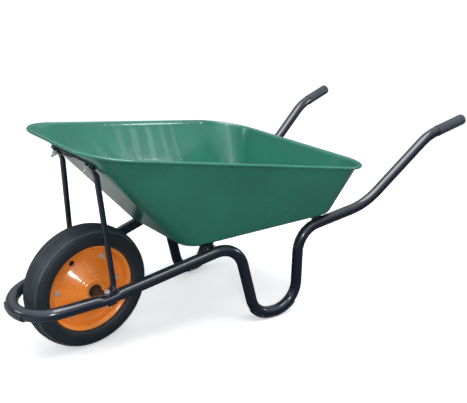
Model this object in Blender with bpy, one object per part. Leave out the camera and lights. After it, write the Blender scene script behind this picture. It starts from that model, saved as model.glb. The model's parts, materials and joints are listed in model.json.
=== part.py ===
"""Steel builder's wheelbarrow: pressed tray on a one-piece bent tube frame with a
nose loop, U-shaped legs, a bolted-on axle and a pressed two-half disc wheel.

Working axes while building: +X to the operator's left, +Y towards the handles,
+Z up, y = 0 at the axle and z = 0 on the ground. All dimensions are millimetres
here and metres in the scene. At the end everything is moved along Y so that the
origin sits under the middle of the overall length.
"""
import math
from collections import namedtuple

import bmesh
import bpy
from mathutils import Matrix, Vector

for _old in list(bpy.data.objects):
    bpy.data.objects.remove(_old, do_unlink=True)

MM = 0.001
GAP = 0.3  # clearance between pieces that touch
SIDES = ((1, "left"), (-1, "right"))  # sign of x, label

# ---- main frame tube -------------------------------------------------------
TUBE_R = 16.0
TUBE_WALL = 1.6
TUBE_SEG = 14
AXLE_SPACING = 121.4  # half spacing of the two tubes at the axle
SIDE_SPLAY = 0.1469  # how fast the half spacing grows towards the handles
NOSE_SPLAY = 0.221  # how fast it shrinks in front of the axle
SPLAY_BLEND = 28.0  # the change of splay is spread this far either side of the axle
NOSE_TIP_Y = -196.6
NOSE_SLOPE = 0.127
NOSE_STEPS = 14
RUN_Z0, RUN_SLOPE = 181.5, 0.222  # the run from the axle up to the arch
BEND_R = 76.0
BEND_STEP = math.radians(14)
# (y, z) of the corners of the tube's centreline behind the axle
ARCH = (370.3, 263.2)
FOOT_FRONT_Y, FOOT_REAR_Y = 448.5, 594.0
LEG_TOP = (582.5, 265.3)
HANDLE_LOW = (835.3, 311.4)
HANDLE_HIGH = (1075.9, 510.6)
HANDLE_END = (1224.0, 551.9)
CRUSH_HALF = 31.0  # the tube is crushed flat this far either side of the axle
CRUSH_WIDEN = 1.10
CRUSH_CLEAR = 42.0  # regular stations closer to the axle than this are replaced

# ---- wear strips -----------------------------------------------------------
STRIP_SEG = 7  # an odd facet count centres one flat facet on the ground
SKID_T = 2.6
SKID_HALF = math.radians(56)  # half the angle it wraps round the tube
SKID_Y = (443, 581)
SKID_TOP = 52
GUARD_T = 3.4
GUARD_HALF = math.radians(54)
GUARD_TILT = math.radians(38)  # its middle faces this far below straight outwards
GUARD_SPAN, GUARD_STEPS = 50, 8  # degrees of the nose arc it covers

# ---- handle grips, as (distance past the tube's end, radius) ---------------
GRIP_SEG = 20
GRIP_BORE_R = 16.5
GRIP_PROFILE = (
    (0.5, GRIP_BORE_R), (-116, GRIP_BORE_R), (-116, 17.0), (-114.5, 17.35),
    (-4, 17.35), (1.5, 16.4), (4.5, 13.2), (5.6, 8.0))

# ---- fasteners -------------------------------------------------------------
HEX_FLATS = 13.0
SHANK_R = 4.0
TIP_BEVEL = (1.0, 0.8)  # along the shank, off its radius
DOME_R = 8.5
NUT_BORE_R = 4.35
NUT_H, DISC_NUT_H = 6.5, 6.2
WASHER_BORE_R = 4.5
WASHER_T = 1.6
HOLE_R = 4.6

# ---- axle and wheel --------------------------------------------------------
WHEEL_R = 168.3
AXLE_R = 7.0
AXLE_Z = WHEEL_R
SEAT_X = 116.4  # the axle bolts stand a little inboard of the tube's middle
AXLE_TAB_HALF_W, AXLE_TAB_HALF_T = 11.0, 3.0  # the flattened ends of the axle
AXLE_TAPER = 6.0
AXLE_END = SEAT_X + 17.0
AXLE_ROUND = SEAT_X - 19.0
HUB_FACE = 44.5
SPACER_CLEAR = 2.0
SPACER_BORE_R, SPACER_R = 7.25, 13.6
HUB_SEG = 24
WHEEL_SEG = 36
SPOKE_BOLT_R = 86.0
BOLT_ANGLES = (0, 60, 180, 240, 300)  # degrees from +Y towards +Z
VALVE_ANGLE, VALVE_AT, VALVE_R = 120, 83.5, 8.2
DISC_FACE = 2.4  # outer face of the disc's flat ring, from the wheel's middle plane

# Wheel profiles as (x, radius). The tyre's outside runs from the rim edge to the
# middle of the tread, its seat from the rim edge to the well.
TYRE_HALF = [
    (29.6, 118.7), (35.0, 121.5), (39.0, 129.0), (40.2, 138.0), (39.0, 148.5),
    (35.5, 156.0), (29.0, 162.4), (16.0, 166.9), (0.0, WHEEL_R)]
TYRE_SEAT_HALF = [(26.4, 118.7), (26.4, 116.6), (21.2, 111.3), (8.0, 108.3)]
DISC_OUTSIDE = [
    (28.9, 118.2), (28.9, 115.2), (22.4, 108.6), (8.5, 105.4), (4.0, 103.0),
    (DISC_FACE, 98.5), (DISC_FACE, 78.0), (7.0, 72.0), (20.0, 56.0), (32.0, 40.0),
    (40.5, 29.5), (43.6, 25.5), (43.6, 20.2)]
DISC_INSIDE = [
    (41.6, 20.2), (41.6, 24.6), (38.8, 28.0), (30.4, 38.6), (18.4, 54.6),
    (5.6, 70.4), (0.3, 77.2), (0.3, 99.2), (2.2, 104.6), (7.6, 107.6),
    (21.4, 110.6), (26.8, 116.0), (26.8, 118.2)]
HUB_BUSH_PROFILE = [
    (24.0, 7.2), (24.0, 15.6), (43.2, 15.6), (43.2, 17.6),
    (HUB_FACE + 1.2, 17.6), (HUB_FACE + 1.2, 7.2)]
HUB_TUBE_PROFILE = [(-42.8, 16.0), (-42.8, 19.0), (42.8, 19.0), (42.8, 16.0)]

# ---- tray ------------------------------------------------------------------
SHEET = 1.2
# A rounded four-sided outline: half width, y and z of the front and rear edges
# before rounding, and the front and rear corner radii
Outline = namedtuple("Outline", "front_w front_y front_z rear_w rear_y rear_z front_r rear_r")
RIM = Outline(194.5, -90.2, 570.1, 355.7, 758.7, 462.9, 128.0, 125.0)
FLOOR = Outline(146.0, 223.0, 268.0, 241.0, 711.0, 307.1, 52.0, 52.0)
CORNER_STEPS = 6
FLANGE_IN = 12.0
FLANGE_DROP = 5.0
FLANGE_FRONT = 14.5  # the front wall stands this much further back under the rim
FILLET = 17.0
# (outwards, up) round the rolled rim bead, from the inside of the wall to its outside
BEAD_SECTION = (
    (-11.0, 0.2), (-8.6, 3.0), (-4.0, 3.8), (0.0, 4.0), (2.83, 2.83), (4.0, 0.0),
    (2.83, -2.83), (0.0, -4.0), (-2.9, -2.7), (-4.2, 1.6), (-7.6, 1.5), (-9.4, -1.2))
# (x, y) corners of the flat panel in the middle of the floor, clear of the bolt heads
PANEL = ((-105.0, 262.0), (105.0, 262.0), (165.0, 690.0), (-165.0, 690.0))
PANEL_RISE = 0.12  # it stands proud of the bolted margin by this much

# ---- saddles and lugs under the tray ---------------------------------------
SADDLE_Y = (252.0, 266.0, 293.0, 304.0)  # front foot, flat top from and to, rear foot
SADDLE_X = (117.0, 161.0)
SADDLE_STEP = 143.0  # inboard of this the saddle is a flat tab
SADDLE_STEPS = 7
SADDLE_T = 4.0
SADDLE_BOLT = (128.5, 279.0)
LUG_X = (185.0, 217.0)
LUG_Y = (640.0, 664.0)
LUG_STEPS = 11
LUG_MIN_T, LUG_FREE_T, LUG_MAX_T = 3.0, 5.0, 8.0  # FREE is where no tube lies below
LUG_NUT_DROP = 8.4
LUG_BOLT = (194.5, 652.0)
TUBE_REACH = TUBE_R + GAP + 0.45  # saddles and lugs stand this far from the tube's centre

# ---- stays and strap -------------------------------------------------------
STAY_R = 7.4
STAY_LOW = (108.0, 17.4, 205.0)  # two points on the straight part of the stay
STAY_HIGH = (82.7, -18.3, 525.0)
TAB_HALF_W, TAB_HALF_T = 11.0, 2.2  # the flattened ends of the stays
STRAP_HALF = 105.0
STRAP_W, STRAP_T = 22.0, 4.0
STRAP_END = ((0, 3.0), (8, 0.6), (16, 0.0))  # distance from the end, lift off the wall
FRONT_BOLT_X = 80.0
FRONT_BOLT_DOWN = 52.0  # distance down the front wall from the flange


# ======================= materials ==========================================
def material(name, rgb, roughness, metallic=0.0):
    mat = bpy.data.materials.new(name)
    mat.use_nodes = True
    bsdf = mat.node_tree.nodes["Principled BSDF"]
    bsdf.inputs["Base Color"].default_value = (*rgb, 1)
    bsdf.inputs["Roughness"].default_value = roughness
    bsdf.inputs["Metallic"].default_value = metallic
    mat.diffuse_color = (*rgb, 1)
    return mat


GREEN = material("tray_paint", rgb=(0.03, 0.13, 0.085), roughness=0.35)
BLACK = material("frame_paint", rgb=(0.02, 0.025, 0.032), roughness=0.38)
ORANGE = material("wheel_paint", rgb=(0.72, 0.20, 0.03), roughness=0.35)
RUBBER = material("tyre_rubber", rgb=(0.022, 0.026, 0.03), roughness=0.75)
ZINC = material("zinc", rgb=(0.62, 0.63, 0.62), roughness=0.35, metallic=1.0)
GRIP = material("grip_plastic", rgb=(0.025, 0.028, 0.034), roughness=0.5)
BUSH = material("bush_plastic", rgb=(0.03, 0.022, 0.018), roughness=0.55)


# ======================= mesh helpers =======================================
def vec(*parts):
    return Vector(parts)


X_AXIS = vec(1, 0, 0)


def finish(name, bm, mat, smooth=None):
    """bm in millimetres becomes a named object in metres; smooth is an angle in degrees."""
    bmesh.ops.recalc_face_normals(bm, faces=bm.faces)
    if sum(f.calc_area() * f.normal.dot(f.calc_center_median()) for f in bm.faces) < 0:
        bmesh.ops.reverse_faces(bm, faces=bm.faces)
    bmesh.ops.scale(bm, vec=(MM, MM, MM), verts=bm.verts)
    mesh = bpy.data.meshes.new(name)
    bm.to_mesh(mesh)
    bm.free()
    mesh.materials.append(mat)
    obj = bpy.data.objects.new(name, mesh)
    bpy.context.scene.collection.objects.link(obj)
    if smooth:
        mesh.shade_smooth()
        mesh.set_sharp_from_angle(angle=math.radians(smooth))
    return obj


def skin(bm, rings, loop=False, caps=True):
    """Quads between closed rings of equal length. With loop the last ring joins the
    first; otherwise caps shut the first and last ring."""
    grid = [[bm.verts.new(p) for p in ring] for ring in rings]
    count = len(grid[0])
    for i in range(len(grid) if loop else len(grid) - 1):
        a, b = grid[i], grid[(i + 1) % len(grid)]
        for j in range(count):
            k = (j + 1) % count
            bm.faces.new((a[j], a[k], b[k], b[j]))
    if caps and not loop:
        bm.faces.new(list(reversed(grid[0])))
        bm.faces.new(grid[-1])
    return grid


def skinned(rings, loop=False):
    bm = bmesh.new()
    skin(bm, rings, loop=loop)
    return bm


def lathe_x(profile, seg):
    """Turns a closed (x, radius) profile about the axle."""
    rings = []
    for i in range(seg):
        a = 2 * math.pi * i / seg
        c, s = math.cos(a), math.sin(a)
        rings.append([vec(x, r * c, AXLE_Z + r * s) for x, r in profile])
    return skinned(rings, loop=True)


class Place:
    """A local frame: origin and three unit axes."""

    def __init__(self, origin, x_dir, y_dir, z_dir):
        self.origin = Vector(origin)
        self.x_dir = x_dir.normalized()
        self.y_dir = y_dir.normalized()
        self.z_dir = z_dir.normalized()

    def at(self, x, y, z):
        return self.origin + self.x_dir * x + self.y_dir * y + self.z_dir * z


def turned(place, stations, seg=12, bored=False):
    """A solid about the local z axis. Stations are (z, radius), or (z, half the
    width across flats, "hex"); a bored solid's stations run round its section."""
    rings = []
    for z, radius, *kind in stations:
        ring = []
        for i in range(seg):
            a = 2 * math.pi * i / seg
            r = radius
            if kind:
                from_flat = (a + math.pi / 6) % (math.pi / 3) - math.pi / 6
                r = radius / math.cos(from_flat)
            ring.append(place.at(r * math.cos(a), r * math.sin(a), z))
        rings.append(ring)
    return skinned(rings, loop=bored)


def section(centre, wide_dir, thick_dir, half_w, half_t, squareness, seg=12):
    """A ring between an ellipse (squareness 0) and a rectangle (1)."""
    ring = []
    for i in range(seg):
        a = 2 * math.pi * (i + 0.5) / seg
        c, s = math.cos(a), math.sin(a)
        k = 1 / max(abs(c), abs(s))
        x = (c * (1 - squareness) + c * k * squareness) * half_w
        y = (s * (1 - squareness) + s * k * squareness) * half_t
        ring.append(centre + wide_dir * x + thick_dir * y)
    return ring


# ======================= fasteners and holes ================================
def nut(name, place, z0, z1):
    flats = HEX_FLATS / 2
    stations = [(z0, flats, "hex"), (z1, flats, "hex"), (z1, NUT_BORE_R), (z0, NUT_BORE_R)]
    finish(name, turned(place, stations, bored=True), ZINC, 30)


def washer(name, place, z0, radius):
    z1 = z0 + WASHER_T
    stations = [(z0, radius), (z1, radius), (z1, WASHER_BORE_R), (z0, WASHER_BORE_R)]
    finish(name, turned(place, stations, seg=16, bored=True), ZINC, 30)


def hex_bolt(name, place, seat, head_height, tip):
    """The head stands on the seat towards local +z, the shank runs down to tip."""
    length, depth = TIP_BEVEL
    flats = HEX_FLATS / 2
    stations = [(seat + head_height, flats, "hex"), (seat, flats, "hex"), (seat, SHANK_R),
                (tip + length, SHANK_R), (tip, SHANK_R - depth)]
    finish(name, turned(place, stations), ZINC, 30)


def dome_bolt(name, place, tip):
    """The dome sits on the inside of the tray towards local -z, the shank runs up to tip."""
    length, depth = TIP_BEVEL
    seat = -GAP
    stations = [(seat - 3.6, DOME_R * 0.35), (seat - 3.0, DOME_R * 0.68),
                (seat - 1.7, DOME_R * 0.93), (seat, DOME_R), (seat, SHANK_R),
                (tip - length, SHANK_R), (tip, SHANK_R - depth)]
    finish(name, turned(place, stations), ZINC, 30)


def rod_cutter(place, z0, z1, radius=HOLE_R, seg=16):
    return turned(place, [(z0, radius), (z1, radius)], seg=seg)


def cut(obj, *cutters):
    for i, bm in enumerate(cutters):
        tool = finish("cut_" + obj.name + "_" + str(i), bm, ZINC)
        tool.hide_render = True
        tool.display_type = "WIRE"
        mod = obj.modifiers.new("hole_" + str(i), "BOOLEAN")
        mod.operation = "DIFFERENCE"
        mod.solver = "EXACT"
        mod.object = tool


# ======================= frame tube centreline ==============================
Station = namedtuple("Station", "point tangent outward")
STRETCH = math.sqrt(1 + SIDE_SPLAY * SIDE_SPLAY)  # length along a splayed side per unit of y


def plan_slope(y):
    w = min(1.0, max(0.0, (y + SPLAY_BLEND) / (2 * SPLAY_BLEND)))
    return NOSE_SPLAY + (SIDE_SPLAY - NOSE_SPLAY) * w


def plan_x(y):
    """Half spacing of the tubes: two straight lines joined by a gentle curve at the axle."""
    if y >= SPLAY_BLEND:
        return AXLE_SPACING + SIDE_SPLAY * y
    if y <= -SPLAY_BLEND:
        return AXLE_SPACING + NOSE_SPLAY * y
    curve = (SIDE_SPLAY - NOSE_SPLAY) / (4 * SPLAY_BLEND)
    return (AXLE_SPACING + (SIDE_SPLAY + NOSE_SPLAY) / 2 * y
            + curve * (y * y + SPLAY_BLEND * SPLAY_BLEND))


def run_z(y):
    return RUN_Z0 + RUN_SLOPE * y


def nose_z(y):
    return RUN_Z0 + NOSE_SLOPE * y


# the feet lie so that the skids' bottom facets touch the ground
FOOT_Z = (TUBE_R + GAP + SKID_T) * math.cos(SKID_HALF / STRIP_SEG)

# nose arc: a circle in plan, centred on the midline, that both side runs meet tangentially
NOSE_STRETCH = math.sqrt(1 + NOSE_SPLAY * NOSE_SPLAY)
NOSE_R = (AXLE_SPACING + NOSE_SPLAY * NOSE_TIP_Y) / (NOSE_STRETCH - NOSE_SPLAY)
NOSE_CENTRE_Y = NOSE_TIP_Y + NOSE_R
TANGENT_Y = NOSE_CENTRE_Y - NOSE_R * NOSE_SPLAY / NOSE_STRETCH


def filleted(points, radii):
    """(point, tangent) pairs along a flat polyline whose corners are arcs."""
    out = [(points[0], (points[1] - points[0]).normalized())]
    for before, corner, after, radius in zip(points, points[1:], points[2:], radii):
        u, v = (corner - before).normalized(), (after - corner).normalized()
        turn = u.angle(v)
        setback = radius * math.tan(turn / 2)
        hand = 1 if u.x * v.y - u.y * v.x > 0 else -1
        centre = corner - u * setback + Vector((-u.y, u.x)) * hand * radius
        start = (corner - u * setback) - centre
        steps = max(2, round(turn / BEND_STEP))
        for k in range(steps + 1):
            a = hand * turn * k / steps
            c, s = math.cos(a), math.sin(a)
            out.append((centre + vec(start.x * c - start.y * s, start.x * s + start.y * c),
                        vec(u.x * c - u.y * s, u.x * s + u.y * c)))
    out.append((points[-1], (points[-1] - points[-2]).normalized()))
    return out


def side_profile():
    """(point, tangent) pairs of one side, as (distance along the side, z)."""
    corners = [  # y, z
        (TANGENT_Y, nose_z(TANGENT_Y)), (0.0, RUN_Z0), ARCH, (FOOT_FRONT_Y, FOOT_Z),
        (FOOT_REAR_Y, FOOT_Z), LEG_TOP, HANDLE_LOW, HANDLE_HIGH, HANDLE_END]
    radii = [60, BEND_R + 4, BEND_R, BEND_R, BEND_R, 225, 160]  # at the inner corners
    path = filleted([vec(y * STRETCH, z) for y, z in corners], radii)
    # fixed stations replace those around the crushed seat for the axle
    seat = [  # y, z, slope
        (-38, nose_z(-38), NOSE_SLOPE),
        (-22, (nose_z(-22) + run_z(-22)) / 2, (NOSE_SLOPE + RUN_SLOPE) / 2),
        (22, run_z(22), RUN_SLOPE),
        (38, run_z(38), RUN_SLOPE)]
    crushed = [(vec(y * STRETCH, z), vec(1.0, slope).normalized()) for y, z, slope in seat]
    limit = CRUSH_CLEAR * STRETCH
    return ([m for m in path if m[0].x < -limit] + crushed
            + [m for m in path if m[0].x > limit])


def side_station(point, tangent, sign=1):
    """Bends a side profile point into the splayed tube; sign -1 gives the right side."""
    y = point.x / STRETCH
    k = plan_slope(y)
    along = tangent.x / STRETCH
    return Station(vec(sign * plan_x(y), y, point.y),
                   vec(sign * k * along, along, tangent.y).normalized(),
                   vec(sign, -k, 0).normalized())


def nose_station(angle):
    outward = vec(math.cos(angle), math.sin(angle), 0)
    point = vec(NOSE_R * outward.x, NOSE_CENTRE_Y + NOSE_R * outward.y, 0)
    point.z = nose_z(point.y)
    tangent = vec(outward.y, -outward.x, 0)
    tangent.z = NOSE_SLOPE * tangent.y
    return Station(point, tangent.normalized(), outward)


SIDE_PROFILE = side_profile()

# ======================= frame tube =========================================
# The axle seat: its frame is square to the tube run, not to the ground
RUN_ANGLE = math.atan(RUN_SLOPE)
SEAT_UP = vec(0, -math.sin(RUN_ANGLE), math.cos(RUN_ANGLE))
SEAT_ALONG = vec(0, math.cos(RUN_ANGLE), math.sin(RUN_ANGLE))
AXLE_CENTRE = vec(0, 0, AXLE_Z)
# heights over the axle's centre between which the tube is crushed
SEAT_LOW, SEAT_TOP = AXLE_TAB_HALF_T + GAP, 23.2


def seat_place(sign):
    """Local z runs up through the crushed seat along the axle bolt."""
    return Place(AXLE_CENTRE + vec(sign * SEAT_X, 0, 0), X_AXIS, SEAT_UP.cross(X_AXIS), SEAT_UP)


def tube_ring(station, radius, inset=0.0):
    point, tangent, outward = station
    upward = outward.cross(tangent)
    crushed = abs(point.y) < CRUSH_HALF and abs(point.x) > 60  # not the nose
    widen = CRUSH_WIDEN if crushed else 1.0
    low, high = SEAT_LOW + inset, SEAT_TOP - inset
    ring = []
    for i in range(TUBE_SEG):
        a = 2 * math.pi * (i + 0.5) / TUBE_SEG
        p = point + outward * (radius * math.cos(a) * widen) + upward * (radius * math.sin(a))
        if crushed:
            height = (p - AXLE_CENTRE).dot(SEAT_UP)
            if height < low:
                p = p + SEAT_UP * (low - height)
            if height > high:
                p = p - SEAT_UP * (height - high)
        ring.append(p)
    return ring


def build_frame_tube():
    """One tube from the left handle round the nose to the right handle."""
    stations = []
    for point, tangent in reversed(SIDE_PROFILE):
        left = side_station(point, tangent)
        stations.append(Station(left.point, -left.tangent, left.outward))
    start = math.asin(NOSE_SPLAY / NOSE_STRETCH)
    for k in range(1, NOSE_STEPS):
        stations.append(nose_station(-start - (math.pi - 2 * start) * k / NOSE_STEPS))
    stations += [side_station(point, tangent, -1) for point, tangent in SIDE_PROFILE]

    bm = bmesh.new()
    outer = skin(bm, [tube_ring(st, TUBE_R) for st in stations], caps=False)
    inner = skin(bm, [tube_ring(st, TUBE_R - TUBE_WALL, TUBE_WALL) for st in stations],
                 caps=False)
    for end in (0, -1):
        for j in range(TUBE_SEG):
            k = (j + 1) % TUBE_SEG
            bm.faces.new((outer[end][j], outer[end][k], inner[end][k], inner[end][j]))
    tube = finish("frame_tube", bm, BLACK, 40)
    cut(tube, *[rod_cutter(seat_place(sign), -8, 36) for sign, _ in SIDES])


# ======================= wear strips ========================================
def wear_strip(name, stations, centre_angle, half_angle, thickness):
    """A curved plate hugging the outside of the tube along the given stations."""
    outer_r = TUBE_R + GAP + thickness
    inner_r = (TUBE_R + GAP) / math.cos(half_angle / STRIP_SEG)
    angles = [centre_angle - half_angle + 2 * half_angle * i / STRIP_SEG
              for i in range(STRIP_SEG + 1)]
    around = [(a, outer_r) for a in angles] + [(a, inner_r) for a in reversed(angles)]
    rings = []
    for point, tangent, outward in stations:
        across = outward.cross(tangent)
        rings.append([point + (outward * math.cos(a) + across * math.sin(a)) * r
                      for a, r in around])
    finish(name, skinned(rings), BLACK, 40)


def build_nose_guard():
    stations = [nose_station(math.radians(-90 + GUARD_SPAN / 2 - GUARD_SPAN * k / GUARD_STEPS))
                for k in range(GUARD_STEPS + 1)]
    wear_strip("nose_guard", stations, GUARD_TILT, GUARD_HALF, GUARD_T)


def build_leg_skid(sign, label):
    stations = [side_station(point, tangent, sign) for point, tangent in SIDE_PROFILE
                if SKID_Y[0] < point.x / STRETCH < SKID_Y[1] and point.y < SKID_TOP]
    # straight down is a quarter turn from outwards, in opposite senses on the two sides
    wear_strip("leg_skid_" + label, stations, -sign * math.pi / 2, SKID_HALF, SKID_T)


# ======================= handle grips =======================================
def build_grip(sign, label):
    end = vec(HANDLE_END[0] * STRETCH, HANDLE_END[1])
    bend = vec(HANDLE_HIGH[0] * STRETCH, HANDLE_HIGH[1])
    point, tangent, outward = side_station(end, (end - bend).normalized(), sign)
    place = Place(point, outward, tangent.cross(outward), tangent)
    finish("grip_" + label, turned(place, GRIP_PROFILE, seg=GRIP_SEG), GRIP, 40)


# ======================= tray surfaces ======================================
def slope_of(shape):
    return (shape.rear_z - shape.front_z) / (shape.rear_y - shape.front_y)


def trace(shape, inset=0.0):
    """Points round an Outline from its right front corner, their outward directions
    and the normal of its sloping plane."""
    corners = [vec(-shape.front_w, shape.front_y), vec(shape.front_w, shape.front_y),
               vec(shape.rear_w, shape.rear_y), vec(-shape.rear_w, shape.rear_y)]
    radii = [shape.front_r, shape.front_r, shape.rear_r, shape.rear_r]
    slope = slope_of(shape)
    points, outs = [], []
    for i, radius in enumerate(radii):
        corner = corners[i]
        u = (corners[i - 1] - corner).normalized()
        v = (corners[(i + 1) % 4] - corner).normalized()
        half = u.angle(v) / 2
        centre = corner + (u + v).normalized() * (radius / math.sin(half))
        start = corner + u * (radius / math.tan(half)) - centre
        end = corner + v * (radius / math.tan(half)) - centre
        a0 = math.atan2(start.y, start.x)
        turn = (math.atan2(end.y, end.x) - a0 + math.pi) % (2 * math.pi) - math.pi
        for k in range(CORNER_STEPS + 1):
            a = a0 + turn * k / CORNER_STEPS
            out = vec(math.cos(a), math.sin(a))
            p = centre + out * (radius - inset)
            points.append(vec(p.x, p.y, shape.front_z + slope * (p.y - shape.front_y)))
            outs.append(vec(out.x, out.y, slope * out.y).normalized())
    return points, outs, vec(0, -slope, 1).normalized()


RIM_POINTS, RIM_OUT, RIM_UP = trace(RIM)
RIM_SPLAY = (RIM.rear_w - RIM.front_w) / (RIM.rear_y - RIM.front_y)
WALL = RIM._replace(front_w=RIM.front_w + RIM_SPLAY * FLANGE_FRONT,
                    front_y=RIM.front_y + FLANGE_FRONT,
                    front_z=RIM.front_z + slope_of(RIM) * FLANGE_FRONT)
WALL_POINTS = [p - RIM_UP * FLANGE_DROP for p in trace(WALL, inset=FLANGE_IN)[0]]
FLOOR_POINTS, _, FLOOR_UP = trace(FLOOR)
FLAT_POINTS = trace(FLOOR, inset=FILLET)[0]
AROUND = len(RIM_POINTS)


def floor_z(y):
    return FLOOR.front_z + slope_of(FLOOR) * (y - FLOOR.front_y)


def floor_under(y):
    """Height just below the underside of the floor."""
    return floor_z(y) - SHEET / FLOOR_UP.z - GAP


# front wall frame: the flat part between the front corners
_edge = CORNER_STEPS + 1
WALL_TOP = vec(0, WALL_POINTS[_edge].y, WALL_POINTS[_edge].z)
WALL_DOWN = (vec(0, FLOOR_POINTS[_edge].y, FLOOR_POINTS[_edge].z) - WALL_TOP).normalized()
WALL_OUT = vec(0, WALL_DOWN.z, -WALL_DOWN.y)


def front_place(x):
    """Local z runs outwards from the inside face of the front wall."""
    return Place(WALL_TOP + WALL_DOWN * FRONT_BOLT_DOWN + vec(x, 0, 0),
                 X_AXIS, WALL_OUT.cross(X_AXIS), WALL_OUT)


def floor_place(x, y):
    """Local z runs down from the inside face of the floor."""
    return Place(vec(x, y, floor_z(y)), X_AXIS, -(FLOOR_UP.cross(X_AXIS)), -FLOOR_UP)


# ======================= tray ===============================================
def tray_inner_levels():
    """Rings up the inside: floor edge, fillet, wall."""
    fillet_top = [floor + (wall - floor).normalized() * FILLET
                  for floor, wall in zip(FLOOR_POINTS, WALL_POINTS)]
    levels = [FLAT_POINTS]
    for t in (0.34, 0.67):
        levels.append([flat * (1 - t) ** 2 + floor * (2 * t * (1 - t)) + top * t ** 2
                       for flat, floor, top in zip(FLAT_POINTS, FLOOR_POINTS, fillet_top)])
    levels.append(fillet_top)
    for t in (0.25, 0.5, 0.75):
        levels.append([top * (1 - t) + wall * t for top, wall in zip(fillet_top, WALL_POINTS)])
    levels.append(WALL_POINTS)
    return levels


def offset_levels(levels, distance):
    """The same rings moved outwards, square to the sheet."""
    out = [[p - FLOOR_UP * distance for p in levels[0]]]
    last = len(levels) - 1
    for i in range(1, last + 1):
        row = []
        for j in range(AROUND):
            up = levels[min(i + 1, last)][j] - levels[i - 1][j]
            along = levels[i][(j + 1) % AROUND] - levels[i][j - 1]
            normal = up.cross(along).normalized()
            if normal.dot(RIM_OUT[j]) < 0:
                normal = -normal
            row.append(levels[i][j] + normal * distance)
        out.append(row)
    return out


def fold_patches(bm, grid):
    """The long walls are slightly twisted. Each patch is folded along the diagonal
    from its lower front corner to its upper rear one, inside and outside and left and
    right alike, so the sheet keeps its thickness."""
    spot = {v: (i, j) for i, row in enumerate(grid) for j, v in enumerate(row)}
    for face in list(bm.faces):
        levels = sorted({spot[v][0] for v in face.verts})
        columns = sorted({spot[v][1] for v in face.verts})
        low, high = sorted(levels, key=lambda i: min(i, len(grid) - 1 - i))
        front, rear = sorted(columns, key=lambda j: grid[low][j].co.y)
        bmesh.utils.face_split(face, grid[low][front], grid[high][rear])


def add_floor_panel(bm, edge):
    """The inside of the floor: a flat panel joined to the rounded outline."""
    panel = [bm.verts.new(vec(x, y, floor_z(y) + PANEL_RISE)) for x, y in PANEL]
    bm.faces.new(panel)
    per_corner = CORNER_STEPS + 1
    for i in range(4):
        arc = edge[i * per_corner:(i + 1) * per_corner]
        for k in range(CORNER_STEPS):
            bm.faces.new((panel[i], arc[k], arc[k + 1]))
        following = edge[(i + 1) * per_corner % AROUND]
        bm.faces.new((panel[i], arc[-1], following, panel[(i + 1) % 4]))


def build_tray():
    inside = tray_inner_levels()
    rings = list(inside)
    for out, up in BEAD_SECTION:
        rings.append([p + o * out + RIM_UP * up for p, o in zip(RIM_POINTS, RIM_OUT)])
    rings += reversed(offset_levels(inside, SHEET))
    bm = bmesh.new()
    grid = skin(bm, rings, caps=False)
    fold_patches(bm, grid)
    bm.faces.new(grid[-1])
    add_floor_panel(bm, grid[0])
    tray = finish("tray", bm, GREEN, 35)
    places = [front_place(sign * FRONT_BOLT_X) for sign, _ in SIDES]
    for x, y in (SADDLE_BOLT, LUG_BOLT):
        places += [floor_place(sign * x, y) for sign, _ in SIDES]
    cut(tray, *[rod_cutter(place, -6, 8) for place in places])


# ======================= saddles and lugs under the tray ====================
def over_tube(x, y, start, direction):
    """Height at (x, y) of the surface TUBE_REACH above a tube's line; None beside it."""
    base = vec(x, y, 0) - start
    up = vec(0, 0, 1)
    # what is left of base + up * z after its part along the tube has length TUBE_REACH
    a = base - direction * base.dot(direction)
    b = up - direction * up.dot(direction)
    square, linear, constant = b.dot(b), 2 * a.dot(b), a.dot(a) - TUBE_REACH * TUBE_REACH
    disc = linear * linear - 4 * square * constant
    if disc < 0:
        return None
    return (-linear + math.sqrt(disc)) / (2 * square)


# a point on and the direction of the left tube under the saddle and under the lug
RUN_START = vec(AXLE_SPACING, 0, RUN_Z0)
RUN_DIR = vec(SIDE_SPLAY, 1, RUN_SLOPE).normalized()
REAR_SLOPE = (HANDLE_LOW[1] - LEG_TOP[1]) / (HANDLE_LOW[0] - LEG_TOP[0])
REAR_START = vec(plan_x(LEG_TOP[0]), LEG_TOP[0], LEG_TOP[1])
REAR_DIR = vec(SIDE_SPLAY, 1, REAR_SLOPE).normalized()


def build_saddle(sign, label):
    """A pressed hat-shaped strap: two splayed legs stand on the tube and a flat tab
    carries the tray."""
    y0, y1, y2, y3 = SADDLE_Y
    top1, top2 = floor_under(y1), floor_under(y2)
    under1, under2 = top1 - SADDLE_T, top2 - SADDLE_T

    def foot(x, y):
        """A point on the tube; inboard of the tube's side it stays level with that side."""
        return y, over_tube(max(x, plan_x(y) - 15.6), y, RUN_START, RUN_DIR)

    # (y, z) round each section; the tab has short turned edges instead of legs
    top = [(y1 - 1.0, top1), (y2 + 1.0, top2)]
    under = [(y2 - 3.0, under2), (y1 + 2.2, under1)]
    tab = [(y1 - 2.4, under1 + 1.5), *top, (y2 + 2.4, under2 + 1.5),
           (y2 + 1.4, under2 + 0.2), *under, (y1 - 1.4, under1 + 0.2)]
    sections = [(SADDLE_X[0], tab), (SADDLE_STEP - 1.0, tab)]
    for i in range(SADDLE_STEPS + 1):
        x = SADDLE_STEP + (SADDLE_X[1] - SADDLE_STEP) * i / SADDLE_STEPS
        sections.append((x, [foot(x, y0), *top, foot(x, y3), foot(x, y3 - SADDLE_T),
                             *under, foot(x, y0 + SADDLE_T + 0.8)]))
    rings = [[vec(sign * x, y, z) for y, z in ring] for x, ring in sections]
    return finish("tray_saddle_" + label, skinned(rings), BLACK, 35)


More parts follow.
